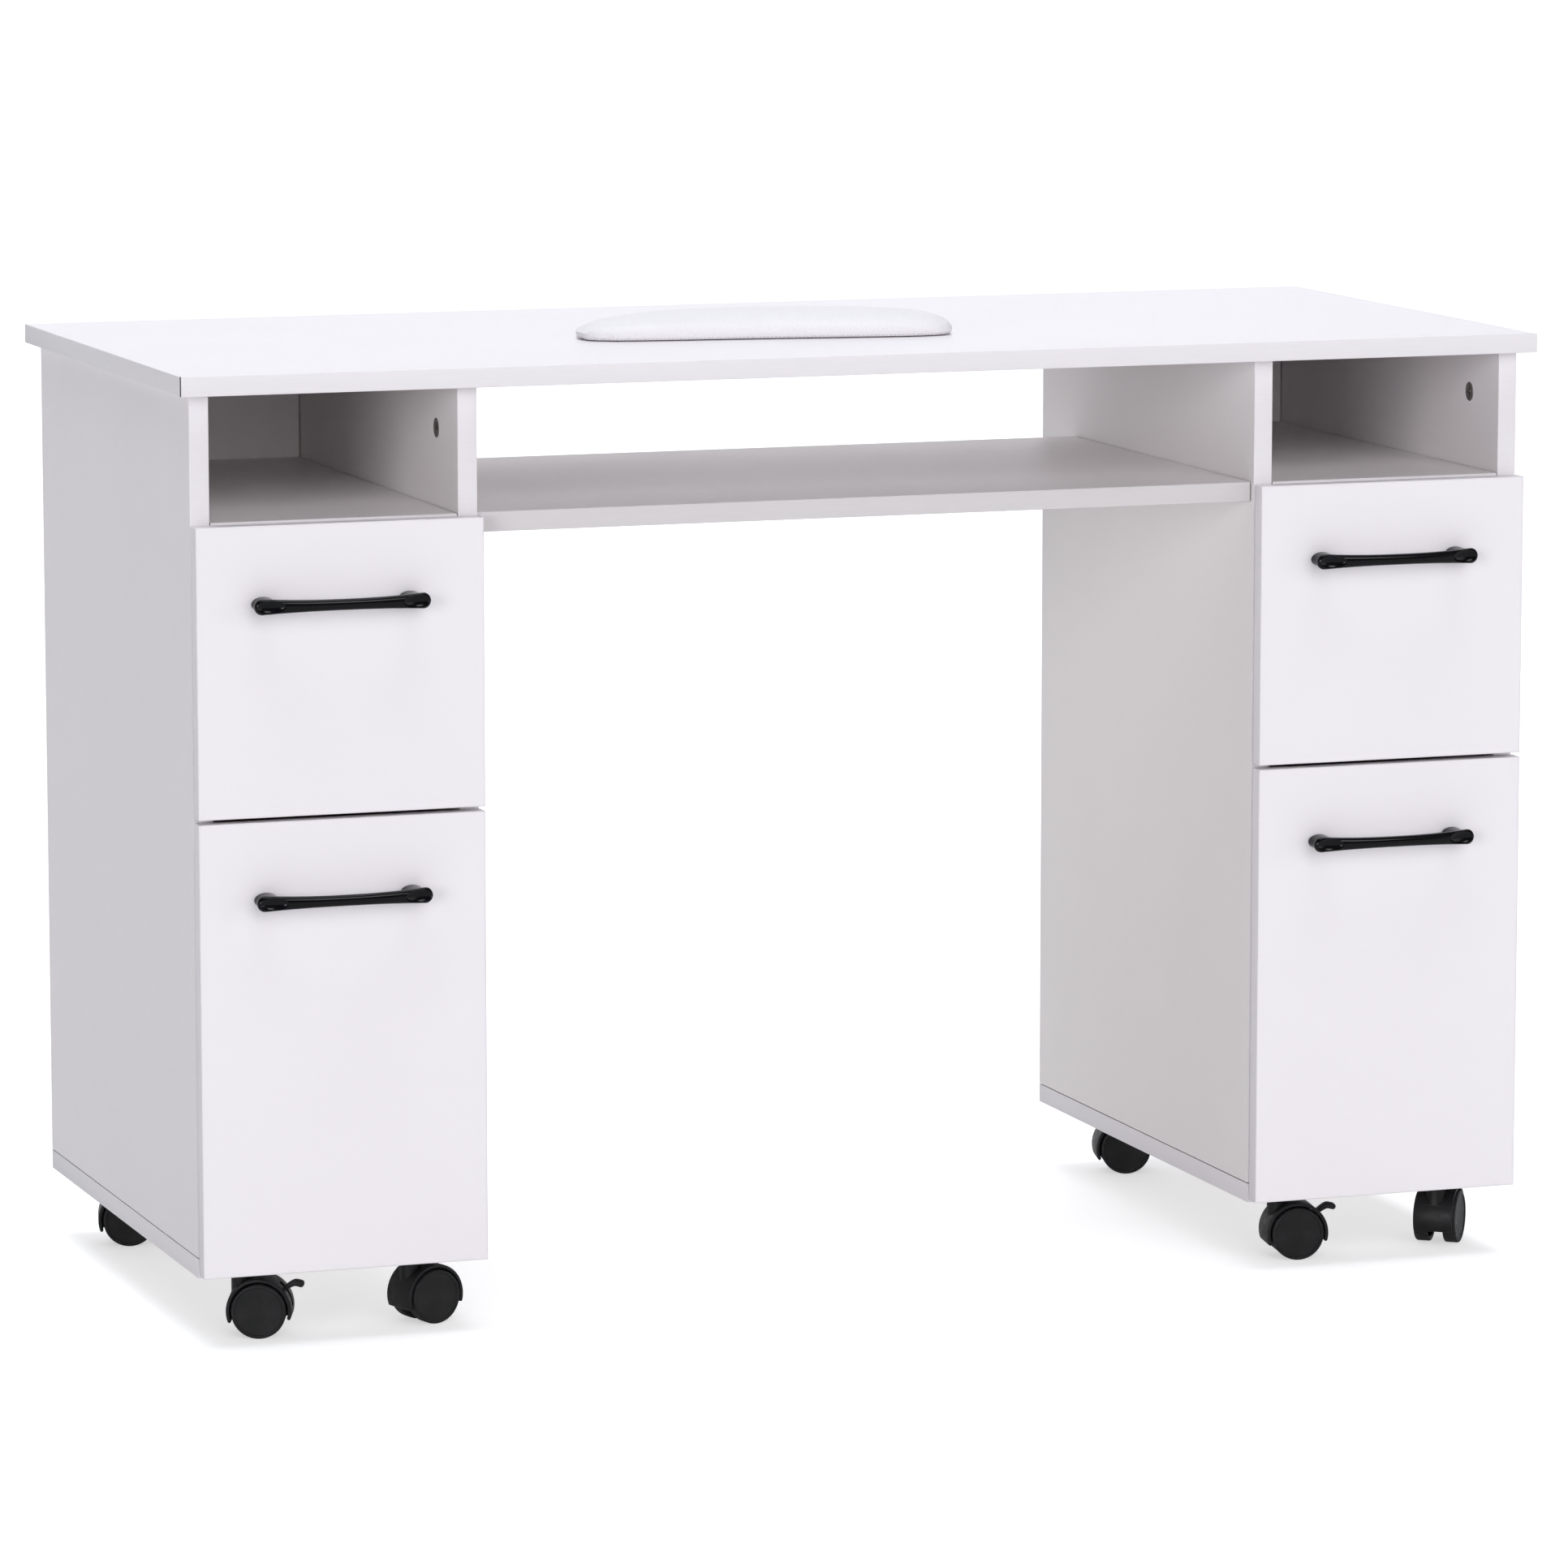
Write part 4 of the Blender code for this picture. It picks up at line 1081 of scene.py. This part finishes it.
def build_stitching(axes, belly, perimeter, pitch, count, outward):
    """A row of short thread bars that lie in the seam's puckers."""
    bm = bmesh.new()
    size = Matrix.Diagonal((0.00032, 0.00032, pitch * 0.36, 1.0))
    for i in range(count):
        place = (i + 0.5) * pitch
        k = min(range(len(belly)), key=lambda j: abs(perimeter[j] - place))
        out = outward(k)
        along = Vector((-out.y, out.x, 0.0))
        middle = Vector((belly[k].x, belly[k].y, SEAM_HEIGHT)) - out * 0.00095
        matrix = Matrix.Translation(middle) @ facing(along) @ size
        bmesh.ops.create_uvsphere(bm, u_segments=8, v_segments=6, radius=1.0, matrix=matrix)
    stitching = placed(raw("wrist_cushion_stitching", bm, THREAD), axes)
    settle(stitching, BODY_OF["wrist_cushion"], "leatherette", smooth=60)


# -------- stage, light and camera
def seen_and_lit(tree, seen, lit, target):
    """Shows one shader to the camera, and lights everything else with the other."""
    mix, path = tree.nodes.new("ShaderNodeMixShader"), tree.nodes.new("ShaderNodeLightPath")
    tree.links.new(path.outputs["Is Camera Ray"], mix.inputs["Fac"])
    tree.links.new(lit.outputs[0], mix.inputs[1])
    tree.links.new(seen.outputs[0], mix.inputs[2])
    tree.links.new(mix.outputs[0], target)


def floor_shader(tree, albedo, glow):
    shader = tree.nodes.new("ShaderNodeBsdfPrincipled")
    return feed(shader, Base_Color=(albedo, albedo, albedo, 1.0), Roughness=0.9, Specular_IOR_Level=0.0,
                Emission_Color=(1.0, 1.0, 1.0, 1.0), Emission_Strength=glow)


def build_stage():
    """Pale floor and a white surround. Both glow a little, as a lit cove does, and look whiter than the light
    that they give off."""
    bm = bmesh.new()
    bmesh.ops.create_grid(bm, x_segments=1, y_segments=1, size=90.0)
    mat = bpy.data.materials.new("pale_floor")
    mat.use_nodes = True
    tree = mat.node_tree
    tree.nodes.remove(tree.nodes["Principled BSDF"])
    seen_and_lit(tree, floor_shader(tree, 0.78, 0.52), floor_shader(tree, 0.60, 0.13),
                 tree.nodes["Material Output"].inputs["Surface"])
    raw("studio_floor", bm, mat)

    world = bpy.data.worlds.new("surround")
    world.use_nodes = True
    tree = world.node_tree
    lit = feed(tree.nodes["Background"], Color=(0.96, 0.97, 1.0, 1.0), Strength=0.05)
    seen = feed(tree.nodes.new("ShaderNodeBackground"), Color=(1.0, 1.0, 1.0, 1.0), Strength=1.05)
    seen_and_lit(tree, seen, lit, tree.nodes["World Output"].inputs["Surface"])
    bpy.context.scene.world = world


def soft_sun(name, towards, spread, strength, colour=(1.0, 1.0, 1.03), glare=True, fill=True):
    """A lamp far away in the given direction, as wide as a large soft box: spread is its angle in degrees.

    Without glare it doesn't show in glossy surfaces, and without fill it shows in nothing else.
    """
    data = bpy.data.lights.new(name, "SUN")
    data.energy = strength
    data.angle = math.radians(spread)
    data.color = colour
    lamp = in_scene(name, data)
    lamp.rotation_euler = Vector(towards).to_track_quat("Z", "Y").to_euler()
    lamp.visible_glossy = glare
    lamp.visible_diffuse = fill


def build_lights():
    cool = (0.965, 1.0, 1.055)
    soft_sun("overhead", (0.0, 0.0, 1.0), 40.0, 1.60, cool)
    soft_sun("overhead_back", (-0.10, 0.55, 0.83), 60.0, 0.68, cool)
    soft_sun("front", (0.0, -0.95, 0.30), 50.0, 1.30, glare=False)
    soft_sun("front_glint", (0.27, -0.76, 0.59), 18.0, 0.50, fill=False)
    soft_sun("front_left", (-0.68, -0.715, 0.10), 24.0, 0.90)
    soft_sun("front_right", (0.80, -0.60, 0.06), 40.0, 0.55)
    soft_sun("back", (0.0, 0.95, 0.30), 50.0, 0.58)
    soft_sun("back_right", (0.70, 0.65, 0.30), 50.0, 0.42)


def build_camera():
    """Long lens, a little above the top's height and to the table's front left."""
    data = bpy.data.cameras.new("camera")
    data.sensor_width = 36.0
    data.lens = LENS
    data.clip_end = 300.0
    camera = in_scene("camera", data)
    camera.location = EYE
    camera.rotation_euler = (Vector(AIM) - camera.location).to_track_quat("-Z", "Y").to_euler()
    bpy.context.scene.camera = camera
    bpy.context.scene.view_settings.view_transform = "Standard"


build_camera()
build_stage()
build_lights()
SCREW = screw_mesh()
build_cams(build_boards())
for name in DRAWERS:
    build_runners(name, build_drawer_box(name))
build_pulls()
build_casters()
build_cushion()
bpy.data.objects.remove(SCREW)
